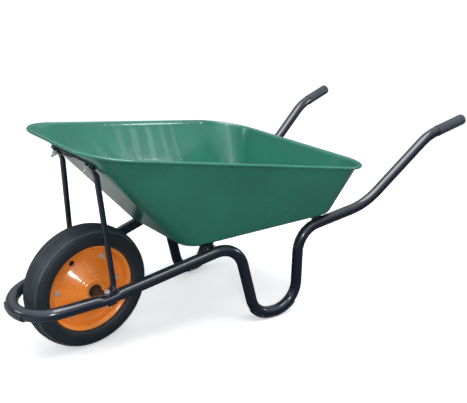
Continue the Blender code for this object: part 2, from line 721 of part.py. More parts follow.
def build_lug(sign, label):
    """A small plate on top of the tube that the back of the tray is bolted to."""
    rings = []
    for i in range(LUG_STEPS + 1):
        x = LUG_X[0] + (LUG_X[1] - LUG_X[0]) * i / LUG_STEPS
        ring = [(y, floor_under(y)) for y in LUG_Y]
        for y in reversed(LUG_Y):
            top = floor_under(y)
            z = over_tube(x, y, REAR_START, REAR_DIR)
            z = top - LUG_FREE_T if z is None else min(top - LUG_MIN_T, z)
            ring.append((y, max(z, top - LUG_MAX_T)))
        rings.append([vec(sign * x, y, z) for y, z in ring])
    return finish("tray_lug_" + label, skinned(rings), BLACK, 35)


def bolt_to_floor(piece, name, label, place, hole_end, tip, nut_at):
    cut(piece, rod_cutter(place, -3, hole_end))
    dome_bolt(name + "_bolt_" + label, place, tip)
    nut(name + "_nut_" + label, place, nut_at, nut_at + NUT_H)


def build_floor_mounts(sign, label):
    bolt_to_floor(build_saddle(sign, label), "saddle", label,
                  floor_place(sign * SADDLE_BOLT[0], SADDLE_BOLT[1]),
                  hole_end=12, tip=18.0, nut_at=SHEET + 3 * GAP + SADDLE_T)
    bolt_to_floor(build_lug(sign, label), "lug", label,
                  floor_place(sign * LUG_BOLT[0], LUG_BOLT[1]),
                  hole_end=16, tip=22.0, nut_at=SHEET + 2 * GAP + LUG_NUT_DROP)


# ======================= front strap ========================================
def build_front_strap():
    place = front_place(0.0)
    ends = [(-STRAP_HALF + inset, lift) for inset, lift in STRAP_END]
    ends += [(STRAP_HALF - inset, lift) for inset, lift in reversed(STRAP_END)]
    half = STRAP_W / 2
    rings = []
    for x, lift in ends:
        near = SHEET + GAP + lift
        far = near + STRAP_T
        rings.append([place.at(x, -half, near), place.at(x, half, near),
                      place.at(x, half, far), place.at(x, -half, far)])
    strap = finish("front_strap", skinned(rings), BLACK, 35)
    cut(strap, *[rod_cutter(front_place(sign * FRONT_BOLT_X), -6, 20) for sign, _ in SIDES])


# ======================= stays ==============================================
# middle of each tab: from the wall's inside face, and over the axle's centre
TOP_TAB_LIFT = SHEET + GAP + STRAP_T + GAP + TAB_HALF_T
FOOT_TAB_LIFT = SEAT_TOP + GAP + TAB_HALF_T
# foot bend: share of the bend, half width, half thickness, squareness
STAY_FOOT_BEND = (
    (0.25, 10.4, 3.1, 0.85), (0.5, 9.3, 4.8, 0.5), (0.75, 8.1, 6.5, 0.15),
    (1.0, STAY_R, STAY_R, 0))
# top end: distance below the bolt, shift outboard, extra lift off the wall,
# half width, half thickness, squareness
STAY_TOP_END = (
    (23.5, 2.6, 2.4, 8.2, 6.1, 0.15), (18.5, 1.6, 1.4, 9.2, 4.6, 0.4),
    (14, 0.6, 0.5, 10.3, 3.0, 0.8), (10, 0, 0, TAB_HALF_W, TAB_HALF_T, 1),
    (-11, 0, 0, TAB_HALF_W, TAB_HALF_T, 1))


def build_stay(sign, label):
    """A straight tube whose two ends are flattened into tabs and bent to lie on the
    seat and on the strap."""
    wall, seat = front_place(sign * FRONT_BOLT_X), seat_place(sign)
    outboard = vec(sign, 0, 0)
    low = vec(sign * STAY_LOW[0], *STAY_LOW[1:])
    high = vec(sign * STAY_HIGH[0], *STAY_HIGH[1:])
    along = (high - low).normalized()
    ahead = (vec(0, -1, 0) + along * along.y).normalized()  # forwards, square to the stay

    def on_line(axis, origin, distance):
        """Where the stay's line is this far from origin, measured along axis."""
        return low + along * ((distance - (low - origin).dot(axis)) / along.dot(axis))

    hole = seat.origin + SEAT_UP * FOOT_TAB_LIFT
    turn = on_line(SEAT_UP, AXLE_CENTRE, FOOT_TAB_LIFT)
    inward = (turn - hole).normalized()  # from the bolt hole to the bend
    lateral = inward.cross(SEAT_UP) * sign
    start, end = hole + inward * 9, turn + along * 16.5
    sections = [(hole - inward * 12, lateral, SEAT_UP, TAB_HALF_W, TAB_HALF_T, 1),
                (start, lateral, SEAT_UP, TAB_HALF_W, TAB_HALF_T, 1)]
    for t, half_w, half_t, squareness in STAY_FOOT_BEND:
        p = start * (1 - t) ** 2 + turn * (2 * t * (1 - t)) + end * t ** 2
        sections.append((p, lateral.lerp(outboard, t).normalized(),
                         SEAT_UP.lerp(ahead, t).normalized(), half_w, half_t, squareness))
    corner = on_line(WALL_OUT, wall.origin, TOP_TAB_LIFT + 3.5)
    sections.append((corner - along * 9, outboard, ahead, STAY_R, STAY_R, 0))
    sections.append((corner - along * 0.5 + WALL_OUT * 0.6, outboard,
                     ahead.lerp(WALL_OUT, 0.5).normalized(), 7.6, 7.1, 0))
    for below, shift, lift, half_w, half_t, squareness in STAY_TOP_END:
        p = (wall.origin + outboard * shift + WALL_DOWN * below
             + WALL_OUT * (TOP_TAB_LIFT + lift))
        sections.append((p, outboard, WALL_OUT, half_w, half_t, squareness))
    stay = finish("stay_" + label, skinned([section(*s) for s in sections]), BLACK, 40)
    cut(stay, rod_cutter(wall, -6, 30), rod_cutter(seat, 16, 40))


def build_axle_fixing(sign, label):
    """The bolt goes down through stay foot, tube and axle end."""
    seat = seat_place(sign)
    washer_z = -AXLE_TAB_HALF_T - GAP - WASHER_T
    nut_top = washer_z - GAP
    hex_bolt("axle_bolt_" + label, seat, seat=SEAT_TOP + 2 * GAP + 2 * TAB_HALF_T,
             head_height=5.3, tip=-16.5)
    washer("axle_washer_" + label, seat, washer_z, radius=8.5)
    nut("axle_nut_" + label, seat, nut_top - NUT_H, nut_top)


def build_front_fixing(sign, label):
    """The bolt goes out through front wall, strap and stay tab."""
    place = front_place(sign * FRONT_BOLT_X)
    washer_z = SHEET + 3 * GAP + STRAP_T + 2 * TAB_HALF_T
    nut_z = washer_z + WASHER_T + GAP
    dome_bolt("front_bolt_" + label, place, 27.0)
    washer("front_washer_" + label, place, washer_z, radius=9.0)
    nut("front_nut_" + label, place, nut_z, nut_z + NUT_H)


# ======================= axle ===============================================
def build_axle():
    """A round bar with both ends flattened for the bolts."""
    half = [  # x, half width, half thickness, squareness
        (AXLE_END, AXLE_TAB_HALF_W, AXLE_TAB_HALF_T, 1),
        (AXLE_ROUND + AXLE_TAPER, AXLE_TAB_HALF_W, AXLE_TAB_HALF_T, 1),
        (AXLE_ROUND, AXLE_R, AXLE_R, 0)]
    stations = [(-x, *size) for x, *size in half] + half[::-1]
    rings = [section(AXLE_CENTRE + vec(x, 0, 0), SEAT_ALONG, SEAT_UP, *size, seg=24)
             for x, *size in stations]
    axle = finish("axle", skinned(rings), BLACK, 40)
    cut(axle, *[rod_cutter(seat_place(sign), -10, 10) for sign, _ in SIDES])


def build_axle_spacer(sign, label):
    x0, x1 = sign * (HUB_FACE + SPACER_CLEAR), sign * (AXLE_ROUND - SPACER_CLEAR)
    profile = [(x0, SPACER_BORE_R), (x0, SPACER_R), (x1, SPACER_R), (x1, SPACER_BORE_R)]
    finish("axle_spacer_" + label, lathe_x(profile, HUB_SEG), BUSH, 35)


# ======================= wheel ==============================================
def mirrored(profile, sign=-1):
    return [(sign * x, r) for x, r in profile]


def build_tyre():
    profile = (TYRE_HALF + mirrored(TYRE_HALF[-2::-1])
               + mirrored(TYRE_SEAT_HALF) + TYRE_SEAT_HALF[::-1])
    finish("tyre", lathe_x(profile, WHEEL_SEG), RUBBER, 35)


def wheel_place(angle, radius):
    """Local x points away from the axle, local z along +X."""
    a = math.radians(angle)
    radial = vec(0, math.cos(a), math.sin(a))
    return Place(AXLE_CENTRE + radial * radius, radial,
                 vec(0, -math.sin(a), math.cos(a)), X_AXIS)


def build_wheel_disc(sign, label):
    profile = mirrored(DISC_OUTSIDE + DISC_INSIDE, sign)
    disc = finish("wheel_disc_" + label, lathe_x(profile, WHEEL_SEG), ORANGE, 30)
    cutters = [rod_cutter(wheel_place(angle, SPOKE_BOLT_R), -12, 12, seg=12)
               for angle in BOLT_ANGLES]
    valve = rod_cutter(wheel_place(VALVE_ANGLE, VALVE_AT), -12, 12, VALVE_R, seg=18)
    cut(disc, *cutters, valve)


def build_hub_bush(sign, label):
    profile = mirrored(HUB_BUSH_PROFILE, sign)
    finish("hub_bush_" + label, lathe_x(profile, HUB_SEG), BUSH, 35)


def build_hub_tube():
    finish("hub_tube", lathe_x(HUB_TUBE_PROFILE, HUB_SEG), ORANGE, 35)


def build_disc_fixings():
    face = DISC_FACE + GAP
    for number, angle in enumerate(BOLT_ANGLES, start=1):
        place = wheel_place(angle, SPOKE_BOLT_R)
        hex_bolt("disc_bolt_" + str(number), place, seat=face, head_height=5.0, tip=-13.0)
        nut("disc_nut_" + str(number), place, -face - DISC_NUT_H, -face)


# ======================= origins ============================================
WHEEL_PIECES = ("tyre", "wheel_disc", "hub_bush", "hub_tube", "disc_bolt", "disc_nut",
                "cut_wheel_disc")


def centre_on_origin():
    """Moves the middle of the overall length over the origin. The wheel's pieces get
    their origin on the axle, all others share the one on the ground below it."""
    ys = [v.co.y for obj in bpy.data.objects if not obj.hide_render
          for v in obj.data.vertices]
    shift = vec(0, -(min(ys) + max(ys)) / 2, 0)
    axle_point = AXLE_CENTRE * MM
    for obj in bpy.data.objects:
        obj.location = shift
        if obj.name.startswith(WHEEL_PIECES):
            obj.data.transform(Matrix.Translation(-axle_point))
            obj.location = axle_point + shift
    bpy.context.view_layer.update()


build_frame_tube()
build_nose_guard()
build_tray()
build_front_strap()
build_axle()
build_tyre()
build_hub_tube()
build_disc_fixings()
for _sign, _label in SIDES:
    build_leg_skid(_sign, _label)
    build_grip(_sign, _label)
    build_floor_mounts(_sign, _label)
    build_stay(_sign, _label)
    build_axle_fixing(_sign, _label)
    build_front_fixing(_sign, _label)
    build_axle_spacer(_sign, _label)
    build_wheel_disc(_sign, _label)
    build_hub_bush(_sign, _label)
centre_on_origin()
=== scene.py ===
"""A wheelbarrow: pressed tray on a bent tube frame, one spoked-out disc wheel in front.

+X is the left side, +Y runs back from the wheel to the handles, +Z is up. Pieces are drawn in
millimetres with y = 0 at the axle; loft() moves them to the axle's place and turns them to metres.
"""
import json
import math

import bmesh
import bpy
import numpy as np
from mathutils import Matrix, Vector


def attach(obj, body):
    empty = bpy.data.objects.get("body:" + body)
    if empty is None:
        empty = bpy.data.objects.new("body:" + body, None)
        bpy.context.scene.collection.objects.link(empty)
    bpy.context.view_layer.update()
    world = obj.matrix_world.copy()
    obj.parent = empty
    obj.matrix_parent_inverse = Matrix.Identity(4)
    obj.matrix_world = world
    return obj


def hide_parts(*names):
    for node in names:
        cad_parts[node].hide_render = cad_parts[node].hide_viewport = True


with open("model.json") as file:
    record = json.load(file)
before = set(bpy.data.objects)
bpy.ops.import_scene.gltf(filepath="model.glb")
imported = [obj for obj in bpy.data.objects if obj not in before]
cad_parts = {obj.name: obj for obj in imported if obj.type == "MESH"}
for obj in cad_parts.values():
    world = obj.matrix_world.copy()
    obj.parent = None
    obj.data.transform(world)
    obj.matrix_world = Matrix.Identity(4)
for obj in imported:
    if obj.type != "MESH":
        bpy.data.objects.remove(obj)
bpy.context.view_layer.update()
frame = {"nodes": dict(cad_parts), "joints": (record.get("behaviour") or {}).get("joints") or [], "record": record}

MM = 0.001
WHEEL_JOINT = [j for j in frame["joints"] if j["name"] == "wheel_spin"][0]
AXLE_Y = WHEEL_JOINT["pos_m"][1] * 1000.0
AXLE_Z = WHEEL_JOINT["pos_m"][2] * 1000.0
GAP = 0.3  # clearance between touching pieces
SIDES = ((1, "left"), (-1, "right"))


def vec(*xyz):
    return Vector(xyz)


# ============================================================================
#  materials
# ============================================================================
class Nodes:
    """Short ways to add and link the nodes of one tree."""

    def __init__(self, tree):
        self.tree = tree
        tree.nodes.clear()

    def put(self, socket, value):
        """Links a socket or sets its value; a colour gets its alpha."""
        if isinstance(value, bpy.types.NodeSocket):
            self.tree.links.new(value, socket)
        elif isinstance(value, tuple):
            socket.default_value = (*value, 1)[:len(socket.default_value)]
        else:
            socket.default_value = value

    def fill(self, node, inputs):
        for name, value in inputs.items():
            self.put(node.inputs[name.replace("_", " ")], value)

    def add(self, kind, **inputs):
        node = self.tree.nodes.new("ShaderNode" + kind)
        self.fill(node, inputs)
        return node

    def ramp(self, value, over, to=(0.0, 1.0)):
        """Smooth step of value from the range `over` to the range `to`."""
        node = self.add("MapRange", Value=value, From_Min=over[0], From_Max=over[1],
                        To_Min=to[0], To_Max=to[1])
        node.interpolation_type = "SMOOTHSTEP"
        return node.outputs["Result"]

    def mix(self, factor, first, second, blend="MIX"):
        node = self.add("Mix")
        node.data_type = "RGBA"
        node.blend_type = blend
        self.put(node.inputs["Factor"], factor)
        self.put(node.inputs[6], first)
        self.put(node.inputs[7], second)
        return node.outputs[2]

    def component(self, vector, index):
        return self.add("SeparateXYZ", Vector=vector).outputs[index]

    def vector_math(self, operation, first, second=(0.0, 0.0, 0.0), output="Value"):
        node = self.add("VectorMath")
        node.operation = operation
        self.put(node.inputs[0], first)
        self.put(node.inputs[1], second)
        return node.outputs[output]


class Material(Nodes):
    """A Principled material with procedural textures in object space."""

    def __init__(self, name, view):
        self.material = bpy.data.materials.new(name)
        self.material.use_nodes = True
        self.material.diffuse_color = (*view, 1)
        super().__init__(self.material.node_tree)
        output = self.add("OutputMaterial")
        self.surface = self.add("BsdfPrincipled")
        self.tree.links.new(self.surface.outputs["BSDF"], output.inputs["Surface"])
        self.place = self.add("TexCoord").outputs["Object"]

    def finish(self, **inputs):
        self.fill(self.surface, inputs)
        return self.material

    def stretched(self, scale, turn=(0.0, 0.0, 0.0)):
        return self.add("Mapping", Vector=self.place, Scale=scale, Rotation=turn).outputs[0]

    def noise(self, scale, detail=3.0, rough=0.5, vector=None, distortion=0.0):
        return self.add("TexNoise", Vector=vector or self.place, Scale=scale, Detail=detail,
                        Roughness=rough, Distortion=distortion).outputs["Fac"]

    def math(self, operation, first, second=0.5):
        node = self.add("Math")
        node.operation = operation
        self.put(node.inputs[0], first)
        self.put(node.inputs[1], second)
        return node.outputs[0]

    def plus(self, first, second):
        return self.math("ADD", first, second)

    def minus(self, first, second):
        return self.math("SUBTRACT", first, second)

    def times(self, first, *others):
        for other in others:
            first = self.math("MULTIPLY", first, other)
        return first

    def bump(self, height, distance, under=None):
        node = self.add("Bump", Strength=1.0, Distance=distance, Height=height)
        if under is not None:
            self.put(node.inputs["Normal"], under)
        return node.outputs[0]

    def edges(self, over):
        return self.ramp(self.add("NewGeometry").outputs["Pointiness"], over)

    def normal(self, index):
        return self.component(self.add("NewGeometry").outputs["Normal"], index)


def tint(rgb, factor):
    return tuple(x * factor for x in rgb)


# Painted reflection streaks down the tray's long walls, lighter bands standing for highlights in the wavy sheet: y
# from the axle and half width in metres, strength
REFLECTION_STREAKS = ((0.243, 0.017, 0.55), (0.299, 0.019, 0.75), (0.361, 0.018, 1.0),
           (0.423, 0.016, 0.65), (0.474, 0.013, 0.50))
# Colour of the painted reflection streaks
REFLECTION_STREAK_RGB = (0.098, 0.270, 0.212)
RIM_TOP_Z, RIM_FALL = 0.5587, 0.1263  # rim height at the axle in metres, and its fall per metre


def painted_reflection_streaks(mat, colour):
    """Painted reflection streaks inside both long walls: lighter bands that stand for highlights reflected in the
    wavy pressed sheet.
    """
    geometry = mat.add("NewGeometry")
    x, y, z = (mat.component(mat.place, i) for i in range(3))
    y = mat.minus(y, AXLE_Y * MM)
    drift = mat.noise(scale=1.0, detail=2.0, vector=mat.stretched((3.0, 9.0, 7.0)))
    warped_y = mat.plus(y, mat.times(mat.minus(drift, 0.5), 0.030))
    facing_in = mat.times(x, mat.component(geometry.outputs["Normal"], 0), -1.0)
    inside = mat.ramp(facing_in, over=(0.08, 0.14))
    depth = mat.minus(mat.minus(RIM_TOP_Z, mat.times(y, RIM_FALL)), z)
    hang = mat.times(mat.ramp(depth, over=(0.004, 0.022)), mat.ramp(depth, over=(0.150, 0.062)))
    total = None
    for centre, width, strength in REFLECTION_STREAKS:
        away = mat.math("ABSOLUTE", mat.minus(warped_y, centre), 0.0)
        mark = mat.times(mat.ramp(away, over=(width, width * 0.30)), strength)
        total = mark if total is None else mat.plus(total, mark)
    patchy = mat.ramp(mat.noise(scale=30.0), over=(0.25, 0.75), to=(0.70, 1.0))
    return mat.mix(mat.times(total, hang, mat.times(inside, patchy)), colour, REFLECTION_STREAK_RGB)


def enamel(name, base, light, rough, coat, wave, wave_scale,
           wear=0.35, worn=(0.30, 0.30, 0.29), draw_ripple_and_streaks=0.0, muted=False):
    """Stoved enamel over steel: colour drift, mottle, orange peel, rubbed edges and dust.

    wave is the depth of the slow waves in metres, and the draw ripple depth that of the ripples pulled down the
    walls, which also switches on the painted reflection streaks; muted darkens the paint in distant reflections."""
    mat = Material(name, base)
    drift = mat.noise(scale=5.5, detail=4.0, rough=0.55)
    mottle = mat.noise(scale=160.0, rough=0.6)
    colour = mat.mix(mat.ramp(drift, over=(0.30, 0.72)), tint(base, 0.88), tint(base, 1.10))
    colour = mat.mix(mat.ramp(mottle, over=(0.35, 0.75), to=(0.0, 0.10)), colour, light)
    # handling marks: sparse short scuffs a shade lighter
    scratches = mat.noise(scale=38.0, detail=2.0, distortion=1.6,
                          vector=mat.stretched((1.0, 0.22, 2.6), turn=(0.3, 0.2, 0.5)))
    scuff = mat.times(mat.ramp(scratches, over=(0.66, 0.72)),
                      mat.ramp(mat.noise(scale=9.0, detail=2.0), over=(0.50, 0.62)))
    colour = mat.mix(mat.times(scuff, 0.22), colour, tint(light, 1.15))
    # rubbed edges
    edge = mat.times(mat.edges(over=(0.535, 0.60)),
                     mat.ramp(mat.noise(scale=70.0, detail=4.0, rough=0.7), over=(0.42, 0.66)))
    colour = mat.mix(mat.times(edge, wear), colour, worn)
    # thin dust on upward faces
    up = mat.ramp(mat.normal(2), over=(0.25, 0.95))
    patches = mat.ramp(mat.noise(scale=30.0, detail=6.0, rough=0.65), over=(0.36, 0.78))
    dusty = mat.times(up, patches, 0.06)
    colour = mat.mix(dusty, colour, (0.42, 0.40, 0.36))
    # painted reflection streaks: lighter paint standing for highlights in the wavy walls
    if draw_ripple_and_streaks:
        colour = painted_reflection_streaks(mat, colour)
    roughness = mat.plus(mat.ramp(mat.noise(scale=48.0, detail=4.0, rough=0.6),
                                  over=(0.25, 0.75), to=(rough - 0.05, rough + 0.07)),
                         mat.times(mat.plus(scuff, dusty), 0.25))
    if muted:
        rays = mat.add("LightPath")
        far = mat.times(rays.outputs["Is Glossy Ray"],
                        mat.ramp(rays.outputs["Ray Length"], over=(0.12, 0.20)))
        colour = mat.mix(far, colour, tint(base, 0.25))
    normal = mat.bump(mat.noise(scale=wave_scale, detail=2.0, rough=0.45), distance=wave)
    if draw_ripple_and_streaks:  # the sheet ripples slightly where it was pulled down the walls
        ripple = mat.noise(scale=1.0, detail=2.0, distortion=0.3,
                           vector=mat.stretched((6.0, 34.0, 1.5)))
        normal = mat.bump(ripple, distance=draw_ripple_and_streaks, under=normal)
    normal = mat.bump(mat.noise(scale=750.0, detail=2.0), distance=0.000010, under=normal)
    coat_rough = mat.ramp(mat.noise(scale=90.0, rough=0.6), over=(0.3, 0.7), to=(0.05, 0.10))
    return mat.finish(Base_Color=colour, Roughness=roughness, Coat_Weight=coat,
                      Coat_Roughness=coat_rough, Coat_IOR=1.5, Normal=normal,
                      Coat_Normal=normal, Specular_IOR_Level=0.5)


def rubber():
    """Black rubber with a painted highlight band round the shoulder, a painted sheen on the tread and a lighter
    band at the bead.
    """
    mat = Material("tyre_rubber_black", (0.02, 0.022, 0.026))
    base = (0.015, 0.021, 0.026)
    fleck = (0.036, 0.046, 0.056)
    colour = mat.mix(mat.ramp(mat.noise(scale=9.0, detail=5.0, rough=0.6), over=(0.3, 0.75)),
                     base, tint(base, 1.35))
    colour = mat.mix(mat.ramp(mat.noise(scale=230.0, rough=0.6), over=(0.5, 0.8),
                              to=(0.0, 0.35)), colour, fleck)
    # distance from the axle, in metres
    offset = mat.vector_math("SUBTRACT", mat.place, (0.0, AXLE_Y * MM, AXLE_Z * MM), "Vector")
    y, z = mat.component(offset, 1), mat.component(offset, 2)
    radius = mat.math("SQRT", mat.plus(mat.times(y, y), mat.times(z, z)))
    # Painted highlight: a lighter, bluer band round the shoulder where light would catch the corner
    shoulder_highlight = mat.times(mat.ramp(radius, over=(0.1555, 0.1585)),
                         mat.ramp(radius, over=(0.1640, 0.1610)))
    patchy = mat.ramp(mat.noise(scale=26.0, detail=5.0, rough=0.62), over=(0.30, 0.70),
                      to=(0.45, 1.0))
    colour = mat.mix(mat.times(shoulder_highlight, patchy, 0.75), colour, (0.085, 0.105, 0.125))
    # Painted sheen: the tread lighter and bluer, as rubber looks under grazing light
    tread = mat.ramp(radius, over=(0.1615, 0.1640))
    colour = mat.mix(mat.times(tread, patchy, 0.45), colour, (0.060, 0.075, 0.090))
    # A lighter band round the bead
    bead = mat.times(mat.ramp(radius, over=(0.1195, 0.1215)),
                     mat.ramp(radius, over=(0.1260, 0.1235)))
    colour = mat.mix(mat.times(bead, patchy, 0.35), colour, (0.060, 0.070, 0.080))
    roughness = mat.ramp(mat.noise(scale=60.0, detail=5.0, rough=0.6), over=(0.2, 0.8),
                         to=(0.38, 0.56))
    normal = mat.bump(mat.noise(scale=70.0), distance=0.00014)
    normal = mat.bump(mat.noise(scale=1100.0, detail=2.0, rough=0.6), distance=0.00010,
                      under=normal)
    return mat.finish(Base_Color=colour, Roughness=roughness, Normal=normal,
                      Specular_IOR_Level=0.38)


def zinc():
    """Zinc plate with bluish and yellowish patches and dull spots."""
    mat = Material("zinc_plate", (0.65, 0.66, 0.65))
    pale, bluish, yellowish = (0.86, 0.86, 0.83), (0.70, 0.73, 0.76), (0.88, 0.81, 0.64)
    colour = mat.mix(mat.ramp(mat.noise(scale=120.0, detail=4.0, rough=0.6), over=(0.3, 0.7)),
                     pale, bluish)
    colour = mat.mix(mat.ramp(mat.noise(scale=75.0), over=(0.52, 0.72), to=(0.0, 0.5)),
                     colour, yellowish)
    dull = mat.ramp(mat.noise(scale=420.0, detail=4.0, rough=0.7), over=(0.55, 0.75))
    colour = mat.mix(mat.times(dull, 0.35), colour, (0.42, 0.42, 0.40))
    roughness = mat.plus(mat.ramp(mat.noise(scale=260.0, detail=4.0, rough=0.6),
                                  over=(0.2, 0.8), to=(0.22, 0.40)), mat.times(dull, 0.15))
    normal = mat.bump(mat.noise(scale=900.0, rough=0.6), distance=0.00005)
    return mat.finish(Base_Color=colour, Metallic=0.62, Roughness=roughness, Normal=normal)


def plastic(name, base, light, rough, grain, depth):
    """Moulded plastic; grain is the scale of its cells, depth their height in metres."""
    mat = Material(name, base)
    colour = mat.mix(mat.ramp(mat.noise(scale=14.0, detail=4.0, rough=0.55), over=(0.3, 0.7)),
                     base, tint(base, 1.3))
    edge = mat.times(mat.edges(over=(0.52, 0.58)),
                     mat.ramp(mat.noise(scale=90.0, detail=4.0, rough=0.7), over=(0.4, 0.65)),
                     0.35)
    colour = mat.mix(edge, colour, light)
    roughness = mat.ramp(mat.noise(scale=55.0, detail=4.0, rough=0.6), over=(0.25, 0.75),
                         to=(rough - 0.07, rough + 0.09))
    cells = mat.add("TexVoronoi", Vector=mat.place, Scale=grain).outputs["Distance"]
    normal = mat.bump(cells, distance=depth)
    normal = mat.bump(mat.noise(scale=40.0, detail=2.0), distance=0.0002, under=normal)
    return mat.finish(Base_Color=colour, Roughness=roughness, Normal=normal,
                      Specular_IOR_Level=0.5)


SLOT_MATERIAL = {
    "tray_paint": enamel("enamel_green", base=(0.017, 0.176, 0.114), light=(0.034, 0.225, 0.155),
                         rough=0.32, coat=0.75, wave=0.00020, wave_scale=9.0, draw_ripple_and_streaks=0.00042),
    "frame_paint": enamel("enamel_black", base=(0.007, 0.013, 0.025),
                          light=(0.022, 0.034, 0.054), rough=0.24, coat=0.85, wave=0.00006,
                          wave_scale=30.0, wear=0.30, worn=(0.16, 0.17, 0.18)),
    "wheel_paint": enamel("enamel_orange", base=(0.90, 0.255, 0.022), light=(0.94, 0.34, 0.06),
                          rough=0.30, coat=0.7, wave=0.00010, wave_scale=20.0,
                          worn=(0.45, 0.40, 0.34), muted=True),
    "tyre_rubber": rubber(),
    "zinc": zinc(),
    "grip_plastic": plastic("grip_plastic_black", base=(0.026, 0.036, 0.048),
                            light=(0.10, 0.11, 0.12), rough=0.40, grain=1300.0, depth=0.00012),
    "bush_plastic": plastic("bush_plastic_dark", base=(0.022, 0.017, 0.014),
                            light=(0.08, 0.07, 0.06), rough=0.45, grain=900.0, depth=0.00005),
}
NODE_SLOT = {s["node"]: s["material_slot"] for s in frame["record"]["subparts"]}
NODE_BODY = {n: b for b, ns in frame["record"]["behaviour"]["bodies"].items() for n in ns}


# ============================================================================
#  mesh helpers
# ============================================================================
def centre_of(points):
    return sum(points, vec(0, 0, 0)) / len(points)


def distances(points):
    """Length along a line of points, at each of them."""
    out = [0.0]
    for a, b in zip(points, points[1:]):
        out.append(out[-1] + (b - a).length)
    return out


def smooth(start, end, x):
    t = max(0.0, min(1.0, (x - start) / (end - start)))
    return t * t * (3 - 2 * t)


def curve(start, control, end, t):
    """Quadratic curve from start to end."""
    return start * (1 - t) ** 2 + control * (2 * t * (1 - t)) + end * t ** 2


def loft(name, rings, node, closed=False, sharp=32, bevel=None):
    """Skins rings of points, as the piece that stands for a CAD node and rides on its body.

    A closed loft joins its last ring to the first; an open one is capped."""
    count, rows = len(rings[0]), len(rings)
    verts, uvs = [], []
    run = 0.0
    for i, ring in enumerate(rings):
        if i:
            run += (centre_of(ring) - centre_of(rings[i - 1])).length
        for p, around in zip(ring, distances(ring)):
            verts.append((p.x * MM, (p.y + AXLE_Y) * MM, p.z * MM))
            uvs.append((around * MM, run * MM))
    faces = []
    for i in range(rows if closed else rows - 1):
        a, b = i * count, ((i + 1) % rows) * count
        for j in range(count):
            k = (j + 1) % count
            faces.append((a + j, a + k, b + k, b + j))
    if not closed:
        faces.append(tuple(reversed(range(count))))
        faces.append(tuple(range((rows - 1) * count, rows * count)))

    mesh = bpy.data.meshes.new(name)
    mesh.from_pydata(verts, [], faces)
    flat = np.array([uvs[v] for f in faces for v in f], np.float32).ravel()
    mesh.uv_layers.new(name="UVMap").data.foreach_set("uv", flat)
    bm = bmesh.new()
    bm.from_mesh(mesh)
    bmesh.ops.recalc_face_normals(bm, faces=bm.faces)
    if bm.calc_volume(signed=True) < 0:
        bmesh.ops.reverse_faces(bm, faces=bm.faces)
    bm.to_mesh(mesh)
    bm.free()
    mesh.shade_smooth()
    mesh.set_sharp_from_angle(angle=math.radians(sharp))
    obj = bpy.data.objects.new(name, mesh)
    bpy.context.scene.collection.objects.link(obj)
    slot = NODE_SLOT[node]
    mesh.materials.append(SLOT_MATERIAL[slot])
    if bevel:
        mod = obj.modifiers.new("edges", "BEVEL")
        mod.width = bevel * MM
        mod.segments = 3
        mod.limit_method = "ANGLE"
        mod.angle_limit = math.radians(40)
        mod.harden_normals = True
    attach(obj, NODE_BODY[node])
    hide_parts(node)
    return obj


def sweep(start, end):
    """Angle of the 2-D arm start, and the turn from it to the arm end."""
    first = math.atan2(start.y, start.x)
    turn = (math.atan2(end.y, end.x) - first + math.pi) % (2 * math.pi) - math.pi
    return first, turn


def unit(angle):
    return Vector((math.cos(angle), math.sin(angle)))


def round_corners(points, radii, closed=False, step=math.radians(9)):
    """2-D line with its corners turned into arcs."""
    points = [Vector(p) for p in points]
    count = len(points)
    out = []
    for i, corner in enumerate(points):
        if (not closed and i in (0, count - 1)) or radii[i] <= 0:
            out.append(corner)
            continue
        back, ahead = points[i - 1] - corner, points[(i + 1) % count] - corner
        back_len, ahead_len = back.length, ahead.length
        back, ahead = back / back_len, ahead / ahead_len
        angle = math.acos(max(-1, min(1, back.dot(ahead))))
        if math.pi - angle < 0.02:
            out.append(corner)
            continue
        trim = min(radii[i] / math.tan(angle / 2), 0.48 * back_len, 0.48 * ahead_len)
        radius = trim * math.tan(angle / 2)
        centre = corner + (back + ahead).normalized() * (radius / math.sin(angle / 2))
        first, turn = sweep(corner + back * trim - centre, corner + ahead * trim - centre)
        steps = max(2, int(math.ceil(abs(turn) / step)))
        for k in range(steps + 1):
            out.append(centre + unit(first + turn * k / steps) * radius)
    return out


def subdivide(points, spacing):
    """Extra points along a 2-D line; spacing gives their distance from a segment's start."""
    out = []
    for a, b in zip(points, points[1:]):
        count = max(1, int((b - a).length / spacing(a)))
        out += [a.lerp(b, k / count) for k in range(count)]
    return out + [points[-1]]


def sided(profile, side):
    return [(side * x, radius) for x, radius in profile]


def lathe(name, profile, node, seg, sharp=32):
    """Turns a closed (x, radius) profile about the axle."""
    rings = []
    for i in range(seg):
        a = 2 * math.pi * i / seg
        cos, sin = math.cos(a), math.sin(a)
        rings.append([vec(x, r * cos, AXLE_Z + r * sin) for x, r in profile])
    return loft(name, rings, node, closed=True, sharp=sharp)


class Place:
    """A local frame: z along axis, x along side."""

    def __init__(self, origin, axis, side=vec(1, 0, 0)):
        self.origin = origin
        self.x, self.y = side.normalized(), axis.cross(side).normalized()
        self.z = axis.normalized()

    def at(self, x, y, z):
        return self.origin + self.x * x + self.y * y + self.z * z


def circle(place, seg, z, radius):
    """Ring about the place's z axis; radius is a number or a function of the angle."""
    out = []
    for i in range(seg):
        a = 2 * math.pi * i / seg
        r = radius(a) if callable(radius) else radius
        out.append(place.at(r * math.cos(a), r * math.sin(a), z))
    return out


def circles(place, seg, rows):
    """One ring for each (z, radius) row."""
    return [circle(place, seg, z, radius) for z, radius in rows]


# ============================================================================
#  bolts, nuts and washers
# ============================================================================
HEX = 6.5        # half width across flats
HEX_SEG = 72
DOME_SEG = 56
SHANK = 3.95     # bolt shank radius
HOLE = 4.3       # nut and washer hole radius
THREAD_PITCH, THREAD_DEPTH = 1.25, 0.55
NUT_H = 6.6
DOME_R, DOME_H = 8.5, 3.6
DOME_SEAT = -0.05


def hexagon(factor):
    """Radius by angle of a hexagon whose corners are turned off at factor half widths."""
    def radius(a):
        local = (a + math.pi / 6) % (math.pi / 3) - math.pi / 6
        return min(HEX / math.cos(local), HEX * factor)
    return radius


